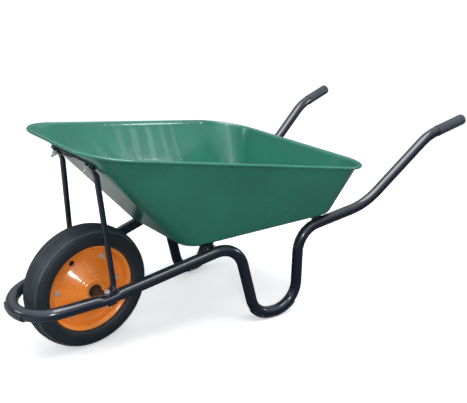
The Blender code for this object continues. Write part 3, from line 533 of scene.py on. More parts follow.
def threaded_end(place, seg, start, tip, sense):
    """Helical thread fading out at both ends, then a chamfered tip; sense is +1 or -1 in z."""
    end = tip - sense * 0.9
    count = int(abs(end - start) / THREAD_PITCH * 7)
    rings = []
    for k in range(count + 1):
        z = start + (end - start) * k / count
        fade = min(1.0, k / 7.0, (count - k) / 7.0)

        def radius(a):
            phase = (z / THREAD_PITCH - a / (2 * math.pi)) % 1.0
            crest = 1 - abs(2 * phase - 1)
            return SHANK - THREAD_DEPTH * fade * (1 - crest) * 0.95
        rings.append(circle(place, seg, z, radius))
    return rings + circles(place, seg, [(tip - sense * 0.3, SHANK - 0.55), (tip, SHANK - 1.2)])


def hex_bolt(name, place, head_top, seat, tip, thread_from):
    """Hexagon bolt pointing down the place's z."""
    rows = [(head_top - 0.35, HEX * 0.55), (head_top - 0.02, HEX * 0.66), (head_top, HEX * 0.90)]
    for drop, factor in ((0.0, 0.945), (0.35, 1.02), (0.75, 1.09), (1.3, 1.16)):
        rows.append((head_top - drop, hexagon(factor)))
    rows += [(seat + 0.9, hexagon(1.16)), (seat + 0.45, hexagon(1.10)),
             (seat + 0.30, HEX * 0.955), (seat, HEX * 0.955), (seat, SHANK)]
    rings = circles(place, HEX_SEG, rows)
    rings += threaded_end(place, HEX_SEG, thread_from, tip, -1)
    loft(name, rings, name, sharp=38)


def dome_bolt(name, place, tip, thread_from):
    """Round-headed bolt pointing up the place's z."""
    rows = []
    for k in range(9):
        t = math.radians(6 + 84 * k / 8)
        rows.append((DOME_SEAT - DOME_H * math.cos(t) ** 0.9, DOME_R * math.sin(t) ** 0.85))
    rows += [(DOME_SEAT, DOME_R - 0.15), (DOME_SEAT, SHANK)]
    rings = circles(place, DOME_SEG, rows)
    rings += threaded_end(place, DOME_SEG, thread_from, tip, 1)
    loft(name, rings, name, sharp=38)


def nut(name, place, z0, z1):
    chamfer = ((0.35, 1.03), (0.8, 1.10), (1.3, 1.16))
    rows = [(z0 + 0.5, HOLE), (z0, HOLE + 0.5), (z0, HEX * 0.945)]
    rows += [(z0 + depth, hexagon(factor)) for depth, factor in chamfer]
    rows += [(z1 - depth, hexagon(factor)) for depth, factor in reversed(chamfer)]
    rows += [(z1, HEX * 0.945), (z1, HOLE + 0.5), (z1 - 0.5, HOLE)]
    loft(name, circles(place, HEX_SEG, rows), name, closed=True, sharp=38)


def washer(name, place, z0, z1, outer):
    rows = [(z0, HOLE), (z0, outer - 0.25), (z0 + 0.3, outer), (z1 - 0.35, outer),
            (z1, outer - 0.4), (z1, HOLE + 0.2), (z1 - 0.2, HOLE)]
    loft(name, circles(place, HEX_SEG, rows), name, closed=True, sharp=38)


# ============================================================================
#  bars
# ============================================================================
BAR_SEG = 40
# Stations over a half-round tip, as distances from it
TIP_AT = (0.02, 0.25, 0.7, 1.4, 2.4, 3.8, 5.6, 7.8, 10.4)


def section(point, side, thick, a, b, power):
    """Superellipse ring: power 2 is an ellipse, a large power a soft-cornered rectangle."""
    ring = []
    for i in range(BAR_SEG):
        t = 2 * math.pi * (i + 0.5) / BAR_SEG
        cos, sin = math.cos(t), math.sin(t)
        x = a * math.copysign(abs(cos) ** (2 / power), cos)
        y = b * math.copysign(abs(sin) ** (2 / power), sin)
        ring.append(point + side * x + thick * y)
    return ring


def catmull(p0, p1, p2, p3, t):
    return 0.5 * ((2 * p1) + (p2 - p0) * t + (2 * p0 - 5 * p1 + 4 * p2 - p3) * t * t
                  + (3 * p1 - p0 - 3 * p2 + p3) * t ** 3)


def bar(name, keys, node, steps=7, rounded=True):
    """Smooth bar through sections (point, side, thick, half width, half thickness, power)."""
    fine = []
    last = len(keys) - 1
    for i in range(last):
        before, start, end, after = keys[max(0, i - 1)], keys[i], keys[i + 1], keys[min(last, i + 2)]
        count = steps * 3 if (end[0] - start[0]).length > 60 else steps
        for k in range(count):
            t = k / count
            ease = t * t * (3 - 2 * t)
            side, thick, *sizes = [p * (1 - ease) + q * ease for p, q in zip(start[1:], end[1:])]
            point = catmull(before[0], start[0], end[0], after[0], t)
            fine.append((point, side.normalized(), thick.normalized(), *sizes))
    fine.append(keys[-1])
    run = distances([station[0] for station in fine])
    total = run[-1]
    stations = list(zip(run, fine))
    if rounded:
        stations = [s for s in stations if keys[0][3] < s[0] < total - keys[-1][3]]
        for key, inner, start, sense in ((fine[0], fine[1], 0, 1), (fine[-1], fine[-2], total, -1)):
            inward = (inner[0] - key[0]).normalized()
            for d in TIP_AT:
                if d < key[3]:
                    stations.append((start + sense * d, (key[0] + inward * d, *key[1:])))
        stations.sort(key=lambda s: s[0])
    rings = []
    for run_here, (point, side, thick, a, b, power) in stations:
        width = a
        for d in (run_here, total - run_here):
            if rounded and d < a:
                width = min(width, a * math.sqrt(max(0.0, 1 - (1 - d / a) ** 2)))
                b = b * min(1.0, 0.72 + 0.28 * min(1.0, d / 0.7))
        rings.append(section(point, side, thick, max(width, 0.25), b, power))
    loft(name, rings, node, sharp=40)


# ============================================================================
#  frame tube
# ============================================================================
TUBE_R = 16.0
TUBE_SEG = 48
# Plan: half width at the axle and its growth per mm of y, behind and ahead of the axle
HALF_AT_AXLE = 121.4
SPREAD, NOSE_SPREAD = 0.1469, 0.221
SPREAD_BLEND = 28.0        # half length over which the two spreads blend
NOSE_TIP_Y = -196.6
# Height: at the axle, and slopes ahead of and behind it
RUN_Z, NOSE_SLOPE, RUN_SLOPE = 181.5, 0.127, 0.222
BEND_R = 76.0
STRIP_T = 2.6              # skid thickness
STRIP_HALF = math.radians(56)
SEAT_LOW, SEAT_TOP = 3.0 + GAP, 23.2  # flattened seat above the axle's centre
# Corners (y, z) of the tube's side view
ARCH = (370.3, 263.2)
FOOT_FRONT_Y, FOOT_REAR_Y = 448.5, 594.0
LEG_TOP = (582.5, 265.3)
HANDLE_LOW = (835.3, 311.4)
HANDLE_HIGH = (1075.9, 510.6)
HANDLE_END = (1224.0, 551.9)

STRETCH = math.sqrt(1 + SPREAD * SPREAD)  # length along the side per mm of y
NOSE_STRETCH = math.sqrt(1 + NOSE_SPREAD * NOSE_SPREAD)
# The nose is an arc tangent to both sides
NOSE_R = (HALF_AT_AXLE + NOSE_SPREAD * NOSE_TIP_Y) / (NOSE_STRETCH - NOSE_SPREAD)
NOSE_CENTRE_Y = NOSE_TIP_Y + NOSE_R
NOSE_END_Y = NOSE_CENTRE_Y - NOSE_R * NOSE_SPREAD / NOSE_STRETCH
SKID_R = TUBE_R + GAP + STRIP_T
FOOT_Z = SKID_R * math.cos(STRIP_HALF / 7)

# The seat's plane is tilted with the run of the tube
TILT = math.atan(RUN_SLOPE)
SEAT_UP = vec(0, -math.sin(TILT), math.cos(TILT))
SEAT_BACK = vec(0, math.cos(TILT), math.sin(TILT))
AXLE = vec(0, 0, AXLE_Z)


def plan_slope(y):
    w = min(1.0, max(0.0, (y + SPREAD_BLEND) / (2 * SPREAD_BLEND)))
    return NOSE_SPREAD + (SPREAD - NOSE_SPREAD) * w


def plan_x(y):
    if y >= SPREAD_BLEND:
        return HALF_AT_AXLE + SPREAD * y
    if y <= -SPREAD_BLEND:
        return HALF_AT_AXLE + NOSE_SPREAD * y
    return (HALF_AT_AXLE + (SPREAD + NOSE_SPREAD) / 2 * y
            + (SPREAD - NOSE_SPREAD) / (4 * SPREAD_BLEND) * (y * y + SPREAD_BLEND * SPREAD_BLEND))


def run_z(y):
    return RUN_Z + RUN_SLOPE * y


def nose_z(y):
    return RUN_Z + NOSE_SLOPE * y


def turned(arm, angle):
    cos, sin = math.cos(angle), math.sin(angle)
    return Vector((arm.x * cos - arm.y * sin, arm.x * sin + arm.y * cos))


def filleted(points, radii, step=math.radians(3.2), gap=26.0):
    """Stations (point, tangent) along a filleted line, with extra ones down the straights."""
    out = [(points[0], (points[1] - points[0]).normalized())]
    for i in range(1, len(points) - 1):
        before, corner, after = points[i - 1:i + 2]
        u, v = (corner - before).normalized(), (after - corner).normalized()
        turn = u.angle(v)
        start = corner - u * (radii[i] * math.tan(turn / 2))
        sense = 1 if u.x * v.y - u.y * v.x > 0 else -1
        centre = start + Vector((-u.y, u.x)) * sense * radii[i]
        steps = max(3, round(turn / step))
        for k in range(steps + 1):
            angle = sense * turn * k / steps
            out.append((centre + turned(start - centre, angle), turned(u, angle)))
    out.append((points[-1], (points[-1] - points[-2]).normalized()))
    fine = [out[0]]
    for point, tangent in out[1:]:
        previous = fine[-1][0]
        count = int((point - previous).length // gap)
        for j in range(1, count + 1):
            fine.append((previous.lerp(point, j / (count + 1)), tangent))
        fine.append((point, tangent))
    return fine


def side_view():
    """Stations of one side of the tube, in the plane (length along the side, z)."""
    # columns: y, z, bend radius
    corners = [(NOSE_END_Y, nose_z(NOSE_END_Y), 0), (0.0, RUN_Z, 60), (*ARCH, BEND_R + 4),
               (FOOT_FRONT_Y, FOOT_Z, BEND_R), (FOOT_REAR_Y, FOOT_Z, BEND_R),
               (*LEG_TOP, BEND_R), (*HANDLE_LOW, 225), (*HANDLE_HIGH, 160), (*HANDLE_END, 0)]
    side = filleted([Vector((y * STRETCH, z)) for y, z, _ in corners], [r for *_, r in corners])
    # close, even stations where the tube is flattened over the axle
    seat = []
    for y in np.linspace(-48, 48, 37):
        w = min(1.0, max(0.0, (y + 36.0) / 40.0))
        seat.append((Vector((y * STRETCH, nose_z(y) * (1 - w) + run_z(y) * w)),
                     Vector((1.0, NOSE_SLOPE * (1 - w) + RUN_SLOPE * w)).normalized()))
    return ([s for s in side if s[0].x < -50 * STRETCH] + seat
            + [s for s in side if s[0].x > 50 * STRETCH])


def side_station(point, tangent, side=1):
    """Station (point, tangent, outward) in space, from one of the side view."""
    y = point.x / STRETCH
    slope = plan_slope(y)
    along = vec(slope * tangent.x / STRETCH, tangent.x / STRETCH, tangent.y).normalized()
    out = vec(1, -slope, 0).normalized()
    return tuple(vec(side * v.x, v.y, v.z) for v in (vec(plan_x(y), y, point.y), along, out))


def nose_station(angle):
    out = vec(math.cos(angle), math.sin(angle), 0)
    point = vec(NOSE_R * out.x, NOSE_CENTRE_Y + NOSE_R * out.y, 0)
    point.z = nose_z(point.y)
    along = vec(out.y, -out.x, 0)
    along.z = NOSE_SLOPE * along.y
    return point, along.normalized(), out


def soft_clip(d, low, high):
    """Presses d between low and high with rounded shoulders."""
    mid, half = (low + high) / 2, (high - low) / 2
    u = (d - mid) / half
    power = 7.0
    return mid + half * u / (1 + abs(u) ** power) ** (1 / power)


def tube_ring(point, along, out):
    up = out.cross(along)
    flat = 0.0
    if abs(point.x) > 60 and abs(point.y) < 46:
        flat = 1 - smooth(13.0, 29.0, abs(point.y))
    ring = []
    for i in range(TUBE_SEG):
        a = 2 * math.pi * (i + 0.5) / TUBE_SEG
        p = (point + out * (TUBE_R * math.cos(a) * (1 + 0.12 * flat))
             + up * (TUBE_R * math.sin(a)))
        if flat:
            d = (p - AXLE).dot(SEAT_UP)
            p = p + SEAT_UP * ((soft_clip(d, SEAT_LOW + 0.1, SEAT_TOP - 0.1) - d) * flat)
        ring.append(p)
    return ring


def tube():
    """The tube in one piece: left handle, round the nose, right handle."""
    stations = []
    for p, t in reversed(tube_side):
        point, along, out = side_station(p, t)
        stations.append((point, -along, out))
    steps = 60
    first = math.asin(NOSE_SPREAD / NOSE_STRETCH)
    for k in range(1, steps):
        stations.append(nose_station(-first - (math.pi - 2 * first) * k / steps))
    stations += [side_station(p, t, -1) for p, t in tube_side]
    loft("tube_frame", [tube_ring(*s) for s in stations], "frame_tube", sharp=50)


tube_side = side_view()
tube()


# ---- wear strips ------------------------------------------------------------
def resample(stations, count):
    """Stations spread anew along the line, closer together near both ends."""
    run = distances([s[0] for s in stations])
    out = []
    for k in range(count + 1):
        here = run[-1] * (0.5 - 0.5 * math.cos(math.pi * (k / count)))
        i = 0
        while i < len(run) - 2 and run[i + 1] < here:
            i += 1
        w = (here - run[i]) / (run[i + 1] - run[i])
        point, along, outward = (a.lerp(b, w) for a, b in zip(stations[i], stations[i + 1]))
        out.append((point, along.normalized(), outward.normalized()))
    return out


def strip(name, stations, middle, node, half=STRIP_HALF, thick=STRIP_T):
    """Curved plate hugging the tube about the angle middle, its edges and ends thinned."""
    inner = TUBE_R + GAP
    steps = 30
    run = distances([s[0] for s in stations])
    rings = []
    for (point, along, out), here in zip(stations, run):
        up = out.cross(along)
        from_end = min(here, run[-1] - here)
        lip = 0.35 + 0.65 * smooth(0.0, 2.2, from_end)
        rounding = math.sqrt(max(0.0, 1 - max(0.0, 1 - from_end / 9.0) ** 2))
        reach = half * (1 - 0.22 * (1 - rounding))
        outer_arc, inner_arc = [], []
        for i in range(steps + 1):
            u = -1 + 2 * i / steps
            a = middle + reach * u
            arm = out * math.cos(a) + up * math.sin(a)
            here_t = thick * lip * (1 - max(0.0, (abs(u) - 0.90) / 0.10) ** 2 * 0.75)
            outer_arc.append(point + arm * (inner + here_t))
            inner_arc.append(point + arm * inner)
        rings.append(outer_arc + inner_arc[::-1])
    loft(name, rings, node, sharp=40)


# 50 degrees of the nose arc, a little to the left of the middle
guard = [nose_station(math.radians(-90 + 25 - 50 * k / 60)) for k in range(61)]
strip("guard_nose", resample(guard, 60), math.radians(38), "nose_guard",
      half=math.radians(54), thick=3.4)

foot = [s for s in tube_side if 445 < s[0].x / STRETCH < 581 and s[0].y < 50]
for side, label in SIDES:
    strip("skid_" + label, resample([side_station(p, t, side) for p, t in foot], 70),
          -side * math.pi / 2, "leg_skid_" + label)


# ---- handle grips -----------------------------------------------------------
GRIP_FRONT = -116.0  # from the tube's end
# (radius, distance past the tube's end, corner radius)
GRIP_OUTSIDE = ((16.35, GRIP_FRONT, 0), (17.35, GRIP_FRONT, 0.8), (17.35, -108.0, 0.6),
                (17.0, -106.8, 0.8), (17.05, -60.0, 0), (17.15, -6.0, 4.0), (16.9, 3.2, 4.5),
                (13.0, 5.3, 1.2), (8.0, 5.3, 0.5), (7.4, 4.6, 0.4), (0.6, 4.6, 0))
GRIP_INSIDE = [(0.5, 0.6), (0.5, 16.35), (GRIP_FRONT, 16.35)]  # (distance, radius)


def grip(side, label):
    end = Vector((HANDLE_END[0] * STRETCH, HANDLE_END[1]))
    tangent = (end - Vector((HANDLE_HIGH[0] * STRETCH, HANDLE_HIGH[1]))).normalized()
    point, along, out = side_station(end, tangent, side)
    outside = round_corners([row[:2] for row in GRIP_OUTSIDE], [row[2] for row in GRIP_OUTSIDE])
    rows = GRIP_INSIDE + [(p.y, p.x) for p in outside]
    loft("handgrip_" + label, circles(Place(point, along, out), 64, rows), "grip_" + label,
         sharp=40)


for side, label in SIDES:
    grip(side, label)


# ============================================================================
#  tray
# ============================================================================
SHEET = 1.2
FILLET = 17.0                       # floor to wall
FLANGE_IN, FLANGE_FRONT = 12.0, 14.5
CORNER_STEPS = 34
EDGE_STEPS = (26, 44, 40, 44)       # along the front, left, rear and right edges
WALL_STEPS = 20
# Places of the levels across the flat floor (centre to edge) and up the fillet
FLAT_AT = (0.04, 0.2, 0.4, 0.6, 0.8, 0.93)
FILLET_AT = (0.14, 0.28, 0.42, 0.57, 0.72, 0.86)
WALL_FIRST = len(FLAT_AT) + 1 + len(FILLET_AT)  # levels between which the wall runs
WALL_LAST = WALL_FIRST + WALL_STEPS

RIM = dict(front_half=194.5, front_y=-90.2, front_z=570.1, front_r=128.0,
           rear_half=355.7, rear_y=758.7, rear_z=462.9, rear_r=125.0)
FLOOR = dict(front_half=146.0, front_y=223.0, front_z=268.0, front_r=52.0,
             rear_half=241.0, rear_y=711.0, rear_z=307.1, rear_r=52.0)


def rise(plane, what="z"):
    """Change of z, or of the half width, per mm of y."""
    return ((plane["rear_" + what] - plane["front_" + what])
            / (plane["rear_y"] - plane["front_y"]))


def plane_z(plane, y):
    return plane["front_z"] + rise(plane) * (y - plane["front_y"])


WALL = dict(RIM, front_half=RIM["front_half"] + rise(RIM, "half") * FLANGE_FRONT,
            front_y=RIM["front_y"] + FLANGE_FRONT,
            front_z=RIM["front_z"] + rise(RIM) * FLANGE_FRONT)


def outline(plane, inset=0.0):
    """Points round a trapezium with arc corners, their outward directions, and its normal."""
    front, rear = plane["front_half"], plane["rear_half"]
    front_y, rear_y = plane["front_y"], plane["rear_y"]
    corners = [Vector(c) for c in
               ((-front, front_y), (front, front_y), (rear, rear_y), (-rear, rear_y))]
    radii = [plane["front_r"]] * 2 + [plane["rear_r"]] * 2
    arcs = []
    for i, (corner, radius) in enumerate(zip(corners, radii)):
        u = (corners[i - 1] - corner).normalized()
        v = (corners[(i + 1) % 4] - corner).normalized()
        angle = u.angle(v)
        centre = corner + (u + v).normalized() * (radius / math.sin(angle / 2))
        trim = radius / math.tan(angle / 2)
        first, turn = sweep(corner + u * trim - centre, corner + v * trim - centre)
        outs = [unit(first + turn * k / CORNER_STEPS) for k in range(CORNER_STEPS + 1)]
        arcs.append([(centre + out * (radius - inset), out) for out in outs])
    flat = []
    for i, steps in enumerate(EDGE_STEPS):
        flat += arcs[i]
        (start, start_out), (end, end_out) = arcs[i][-1], arcs[(i + 1) % 4][0]
        flat += [(start.lerp(end, k / steps), start_out.lerp(end_out, k / steps).normalized())
                 for k in range(1, steps)]
    slope = rise(plane)
    return ([vec(p.x, p.y, plane_z(plane, p.y)) for p, _ in flat],
            [vec(out.x, out.y, slope * out.y).normalized() for _, out in flat],
            vec(0, -slope, 1).normalized())


rim, rim_out, rim_up = outline(RIM)
wall_top = [p - rim_up * 5.0 for p in outline(WALL, inset=FLANGE_IN)[0]]
floor_edge, _, floor_up = outline(FLOOR)
AROUND = range(len(rim))


def wave(x, seed):
    """Smooth one-dimensional noise in -1..1."""
    def value(k):
        v = math.sin((k + seed * 57.3) * 12.9898) * 43758.5453
        return (v - math.floor(v)) * 2 - 1
    i = math.floor(x)
    f = x - i
    f = f * f * (3 - 2 * f)
    return value(i) * (1 - f) + value(i + 1) * f


def inner_levels():
    """The tray's inner face as loops, from the floor's middle up to the start of the rim."""
    flat = outline(FLOOR, inset=FILLET)[0]
    middle = centre_of(flat)
    up = [(wall_top[j] - floor_edge[j]).normalized() for j in AROUND]
    levels = [[middle.lerp(p, t) for p in flat] for t in FLAT_AT] + [flat]
    foot = [floor_edge[j] + up[j] * FILLET for j in AROUND]
    levels += [[curve(flat[j], floor_edge[j], foot[j], t) for j in AROUND] for t in FILLET_AT]
    levels.append(foot)
    neck = [wall_top[j] - up[j] * 5.0 for j in AROUND]
    levels += [[foot[j].lerp(neck[j], k / WALL_STEPS) for j in AROUND]
               for k in range(1, WALL_STEPS)]
    levels.append(neck)
    lip = []
    for j in AROUND:
        d = rim[j] + rim_out[j] * -11.0 + rim_up * 0.2 - wall_top[j]
        lip.append(wall_top[j] + d.normalized() * min(5.0, d.length * 0.5))
    levels += [[curve(neck[j], wall_top[j], lip[j], t) for j in AROUND]
               for t in (0.25, 0.5, 0.75)]
    levels.append(lip)
    press_marks(levels, up)
    return levels


def press_marks(levels, up):
    """Slow waves and a few pleats at the corners, fading up and down the wall."""
    run = distances(rim)
    cornering = []
    for steps in EDGE_STEPS:
        cornering += [math.sin(math.pi * k / CORNER_STEPS) for k in range(CORNER_STEPS + 1)]
        cornering += [0.0] * (steps - 1)
    for level in range(WALL_FIRST, WALL_LAST + 1):
        height = (level - WALL_FIRST) / WALL_STEPS
        fade = math.sin(math.pi * min(1.0, height * 0.96 + 0.02)) ** 0.8
        row = levels[level]
        new = []
        for j in AROUND:
            normal = up[j].cross(row[(j + 1) % len(row)] - row[j - 1]).normalized()
            if normal.dot(rim_out[j]) < 0:
                normal = -normal
            s = run[j]
            d = 0.55 * wave(s / 34.0, 1) + 0.22 * wave(s / 15.0, 2)
            d += cornering[j] * (0.5 * wave(s / 11.0, 3) * smooth(0.35, 0.9, height))
            # the front wall stays plain
            d *= fade * (0.0 if rim_out[j].y < -0.80 else 1.0)
            new.append(row[j] + normal * d)
        levels[level] = new


def outer_levels(levels):
    """The levels moved out by the sheet's thickness."""
    out = []
    for i, row in enumerate(levels):
        if i <= len(FLAT_AT):
            out.append([p - floor_up * SHEET for p in row])
            continue
        above, below = levels[min(i + 1, len(levels) - 1)], levels[i - 1]
        new = []
        for j in AROUND:
            normal = (above[j] - below[j]).cross(row[(j + 1) % len(row)] - row[j - 1]).normalized()
            facing = rim_out[j] if i <= WALL_LAST else rim_out[j] - rim_up
            if normal.dot(facing) < 0:
                normal = -normal
            new.append(row[j] + normal * SHEET)
        out.append(new)
    return out


BEAD_R = 4.0
# Rim section before and after the rolled bead: (outward, up) from the rim line
BEAD_START = [(-9.6, 1.7), (-8.0, 3.0), (-5.6, 3.72), (-3.0, 3.95), (-1.0, 4.0)]
BEAD_END = [(-3.6, -1.4), (-4.4, 0.6), (-5.6, 1.6), (-7.4, 1.4), (-8.9, 0.2)]


def tray():
    levels = inner_levels()
    angles = [math.radians(96 - 236 * k / 21) for k in range(1, 22)]
    roll = [(BEAD_R * math.cos(t), BEAD_R * math.sin(t)) for t in angles]
    bead = [[rim[j] + rim_out[j] * out + rim_up * up for j in AROUND]
            for out, up in BEAD_START + roll + BEAD_END]
    loft("tray_shell", levels + bead + outer_levels(levels)[::-1], "tray", sharp=34)


tray()

# The front wall: its middle at the top, and the directions down it and out of it
front_j = CORNER_STEPS + EDGE_STEPS[0] // 2
FRONT_TOP = vec(0, *wall_top[front_j].yz)
FRONT_DOWN = (vec(0, *floor_edge[front_j].yz) - FRONT_TOP).normalized()
FRONT_OUT = vec(0, FRONT_DOWN.z, -FRONT_DOWN.y)
FRONT_BOLT_X, FRONT_BOLT_DOWN = 80.0, 52.0


def front_place(x):
    return Place(FRONT_TOP + FRONT_DOWN * FRONT_BOLT_DOWN + vec(x, 0, 0), FRONT_OUT)


def floor_place(x, y):
    return Place(vec(x, y, plane_z(FLOOR, y)), -floor_up)


# ============================================================================
#  saddles and lugs, between the tray's floor and the tube
# ============================================================================
REACH = TUBE_R + GAP + 0.1
RUN_LINE = (vec(HALF_AT_AXLE, 0, RUN_Z), vec(SPREAD, 1, RUN_SLOPE).normalized())
REAR_SLOPE = (HANDLE_LOW[1] - LEG_TOP[1]) / (HANDLE_LOW[0] - LEG_TOP[0])
REAR_LINE = (vec(plan_x(LEG_TOP[0]), *LEG_TOP), vec(SPREAD, 1, REAR_SLOPE).normalized())
SADDLE_Y = (252.0, 266.0, 293.0, 304.0)  # front foot, top's front and rear, rear foot
SADDLE_X = (117.0, 143.0, 161.0)         # inner end, where the feet start, outer end
SADDLE_T = 4.0
SADDLE_BOLT = (128.5, 279.0)
LUG_Y = (640.0, 664.0)
LUG_X = (185.0, 217.0)
LUG_BOLT = (194.5, 652.0)


def over_tube(x, y, line):
    """Height just over the tube on line (point, direction), or None beside it."""
    point, along = line
    start, up = vec(x, y, 0) - point, vec(0, 0, 1)
    a = start - along * start.dot(along)
    b = up - along * up.dot(along)
    square, linear, rest = b.dot(b), 2 * a.dot(b), a.dot(a) - REACH * REACH
    inside = linear * linear - 4 * square * rest
    if inside < 0:
        return None
    return (-linear + math.sqrt(inside)) / (2 * square)


def floor_under(y):
    return plane_z(FLOOR, y) - SHEET / floor_up.z - GAP


def saddle(side, label):
    """Plate under the floor whose outer part has a foot down to the tube at each end."""
    y0, y1, y2, y3 = SADDLE_Y
    inner_x, feet_x, outer_x = SADDLE_X
    top1, top2 = floor_under(y1), floor_under(y2)
    under1, under2 = top1 - SADDLE_T, top2 - SADDLE_T
    top = [(y1 - 1.0, top1), (y2 + 1.0, top2)]
    under = [(y2 - 3.0, under2), (y1 + 2.2, under1)]
    plain = [(y1 - 2.4, under1 + 1.5), *top, (y2 + 2.4, under2 + 1.5),
             (y2 + 1.4, under2 + 0.2), *under, (y1 - 1.4, under1 + 0.2)]
    rings = [[vec(side * x, y, z) for y, z in plain] for x in (inner_x, feet_x - 1.0)]
    steps = 14
    for i in range(steps + 1):
        x = feet_x + (outer_x - feet_x) * i / steps
        front_out, rear_out, rear_in, front_in = (
            (y, over_tube(max(x, plan_x(y) - 15.6), y, RUN_LINE))
            for y in (y0, y3, y3 - SADDLE_T, y0 + SADDLE_T + 0.8))
        ring = [front_out, *top, rear_out, rear_in, *under, front_in]
        rings.append([vec(side * x, y, z) for y, z in ring])
    loft("saddle_" + label, rings, "tray_saddle_" + label, sharp=30, bevel=0.7)


def lug(side, label):
    """Block under the floor, hollowed to sit on the rear run of the tube."""
    rings = []
    steps = 16
    for i in range(steps + 1):
        x = LUG_X[0] + (LUG_X[1] - LUG_X[0]) * i / steps
        ring = [(y, floor_under(y)) for y in LUG_Y]
        for y in reversed(LUG_Y):
            z = over_tube(x, y, REAR_LINE)
            top = floor_under(y)
            ring.append((y, min(top - 3.0, z) if z is not None else top - 5.0))
        rings.append([vec(side * x, y, max(z, floor_under(y) - 8.0)) for y, z in ring])
    loft("lug_" + label, rings, "tray_lug_" + label, sharp=30, bevel=0.7)


for side, label in SIDES:
    saddle(side, label)
    place = floor_place(side * SADDLE_BOLT[0], SADDLE_BOLT[1])
    dome_bolt("saddle_bolt_" + label, place, tip=18.0, thread_from=6.0)
    seat = SHEET + GAP + SADDLE_T + 0.3
    nut("saddle_nut_" + label, place, seat, seat + NUT_H)
    lug(side, label)
    place = floor_place(side * LUG_BOLT[0], LUG_BOLT[1])
    dome_bolt("lug_bolt_" + label, place, tip=22.0, thread_from=9.0)
    seat = SHEET + GAP * 2 + 8.2
    nut("lug_nut_" + label, place, seat, seat + NUT_H)

# ============================================================================
#  strap, stays, axle and their fixings
# ============================================================================
STRAP_HALF, STRAP_W, STRAP_T = 105.0, 22.0, 4.0
TAB_A, TAB_B = 11.0, 2.2                  # half width and half thickness of the stay's tabs
TAB = (TAB_A, TAB_B, 9.0)
STAY_R = 7.4
STAY_ROUND = (STAY_R, STAY_R, 2.0)
STAY_LOW, STAY_HIGH = (108.0, 17.4, 205.0), (82.7, -18.3, 525.0)
SEAT_X = 116.4                            # axle bolt
TOP_LIFT = SHEET + GAP + STRAP_T + GAP + TAB_B
FOOT_LIFT = SEAT_TOP + GAP + TAB_B
AXLE_END = SEAT_X + 17.0
AXLE_ROUND = SEAT_X - 19.0                # the axle is round inside this x
# Stay above its lower bend: (t along the bend, half width, half thickness, power)
LOW_BEND = ((0.25, 10.4, 3.1, 5.5), (0.5, 9.3, 4.8, 3.2), (0.75, 8.1, 6.5, 2.3),
            (1.0, *STAY_ROUND))
# Stay's top end: (down from the bolt, outward x, lift, half width, half thickness, power)
TOP_TAB = ((23.5, 2.6, 2.4, 8.2, 6.1, 2.2), (18.5, 1.6, 1.4, 9.2, 4.6, 2.9),
           (14, 0.6, 0.5, 10.3, 3.0, 5.5), (10, 0, 0, *TAB), (0, 0, 0, *TAB), (-11, 0, 0, *TAB))


def strap():
    """Flat bar across the front wall, its ends lifted off it."""
    place = front_place(0.0)
    z = SHEET + GAP - 0.15 + STRAP_T / 2
    ends = ((STRAP_HALF, 3.0), (STRAP_HALF - 8, 0.7), (STRAP_HALF - 17, 0.0))
    rows = [(-x, lift) for x, lift in ends] + [(0.0, 0.0)] + list(reversed(ends))
    bar("strap_front", [(place.at(x, 0, z + lift), place.y, place.z, STRAP_W / 2, STRAP_T / 2,
                         9.0) for x, lift in rows], "front_strap")


def stay(side, label, place):
    """Rod from the axle seat up to the strap, flattened to a tab at both ends."""
    out = vec(side, 0, 0)
    low = vec(side * STAY_LOW[0], *STAY_LOW[1:])
    high = vec(side * STAY_HIGH[0], *STAY_HIGH[1:])
    along = (high - low).normalized()
    ahead = (vec(0, -1, 0) + along * along.y).normalized()

    def rod_at(axis, origin, height):
        """Where the rod's line is this high over origin, along axis."""
        return low + along * ((height - (low - origin).dot(axis)) / along.dot(axis))

    hole = AXLE + out * SEAT_X + SEAT_UP * (FOOT_LIFT - 0.15)
    turn = rod_at(SEAT_UP, AXLE, FOOT_LIFT)
    forward = (turn - hole).normalized()
    across = forward.cross(SEAT_UP) * side
    keys = [(hole + forward * d, across, SEAT_UP, *TAB) for d in (-12, 0, 9)]
    start, end = hole + forward * 9, turn + along * 16.5
    for t, *sizes in LOW_BEND:
        keys.append((curve(start, turn, end, t), across.lerp(out, t).normalized(),
                     SEAT_UP.lerp(ahead, t).normalized(), *sizes))
    corner = rod_at(FRONT_OUT, place.origin, TOP_LIFT + 3.5)
    for point in (end.lerp(corner, 0.06), end.lerp(corner, 0.5), corner - along * 24,
                  corner - along * 9):
        keys.append((point, out, ahead, *STAY_ROUND))
    keys.append((corner - along * 0.5 + FRONT_OUT * 0.6, out,
                 ahead.lerp(FRONT_OUT, 0.5).normalized(), 7.6, 7.1, 2.0))
    for down, x, lift, *sizes in TOP_TAB:
        point = (place.origin + out * x + FRONT_DOWN * down
                 + FRONT_OUT * (TOP_LIFT - 0.15 + lift))
        keys.append((point, out, FRONT_OUT, *sizes))
    bar("stayrod_" + label, keys, "stay_" + label)


def sleeve(side, label):
    """Spacer sleeve between hub and frame."""
    x0, x1 = 46.5, AXLE_ROUND - 2.0
    profile = round_corners([(x0, 7.25), (x0, 13.6), (x1, 13.6), (x1, 7.25)], [0, 0.9, 0.9, 0],
                            closed=True)
    lathe("spacer_sleeve_" + label, sided(profile, side), "axle_spacer_" + label, seg=72)


def axle():
    """Round rod, flattened at both ends where it is bolted."""
    # columns: x, half width, half thickness, power
    end = [(AXLE_END, 11, 3, 9.0), (AXLE_ROUND + 8, 11, 3, 9.0), (AXLE_ROUND + 4, 9.6, 4.2, 4.0),
           (AXLE_ROUND, 7, 7, 2.0)]
    rows = [(-x, *sizes) for x, *sizes in end] + [(0.0, 7, 7, 2.0)] + end[::-1]
    bar("axle_rod", [(AXLE + vec(x, 0, 0), SEAT_BACK, SEAT_UP, *sizes) for x, *sizes in rows],
        "axle", steps=6, rounded=False)


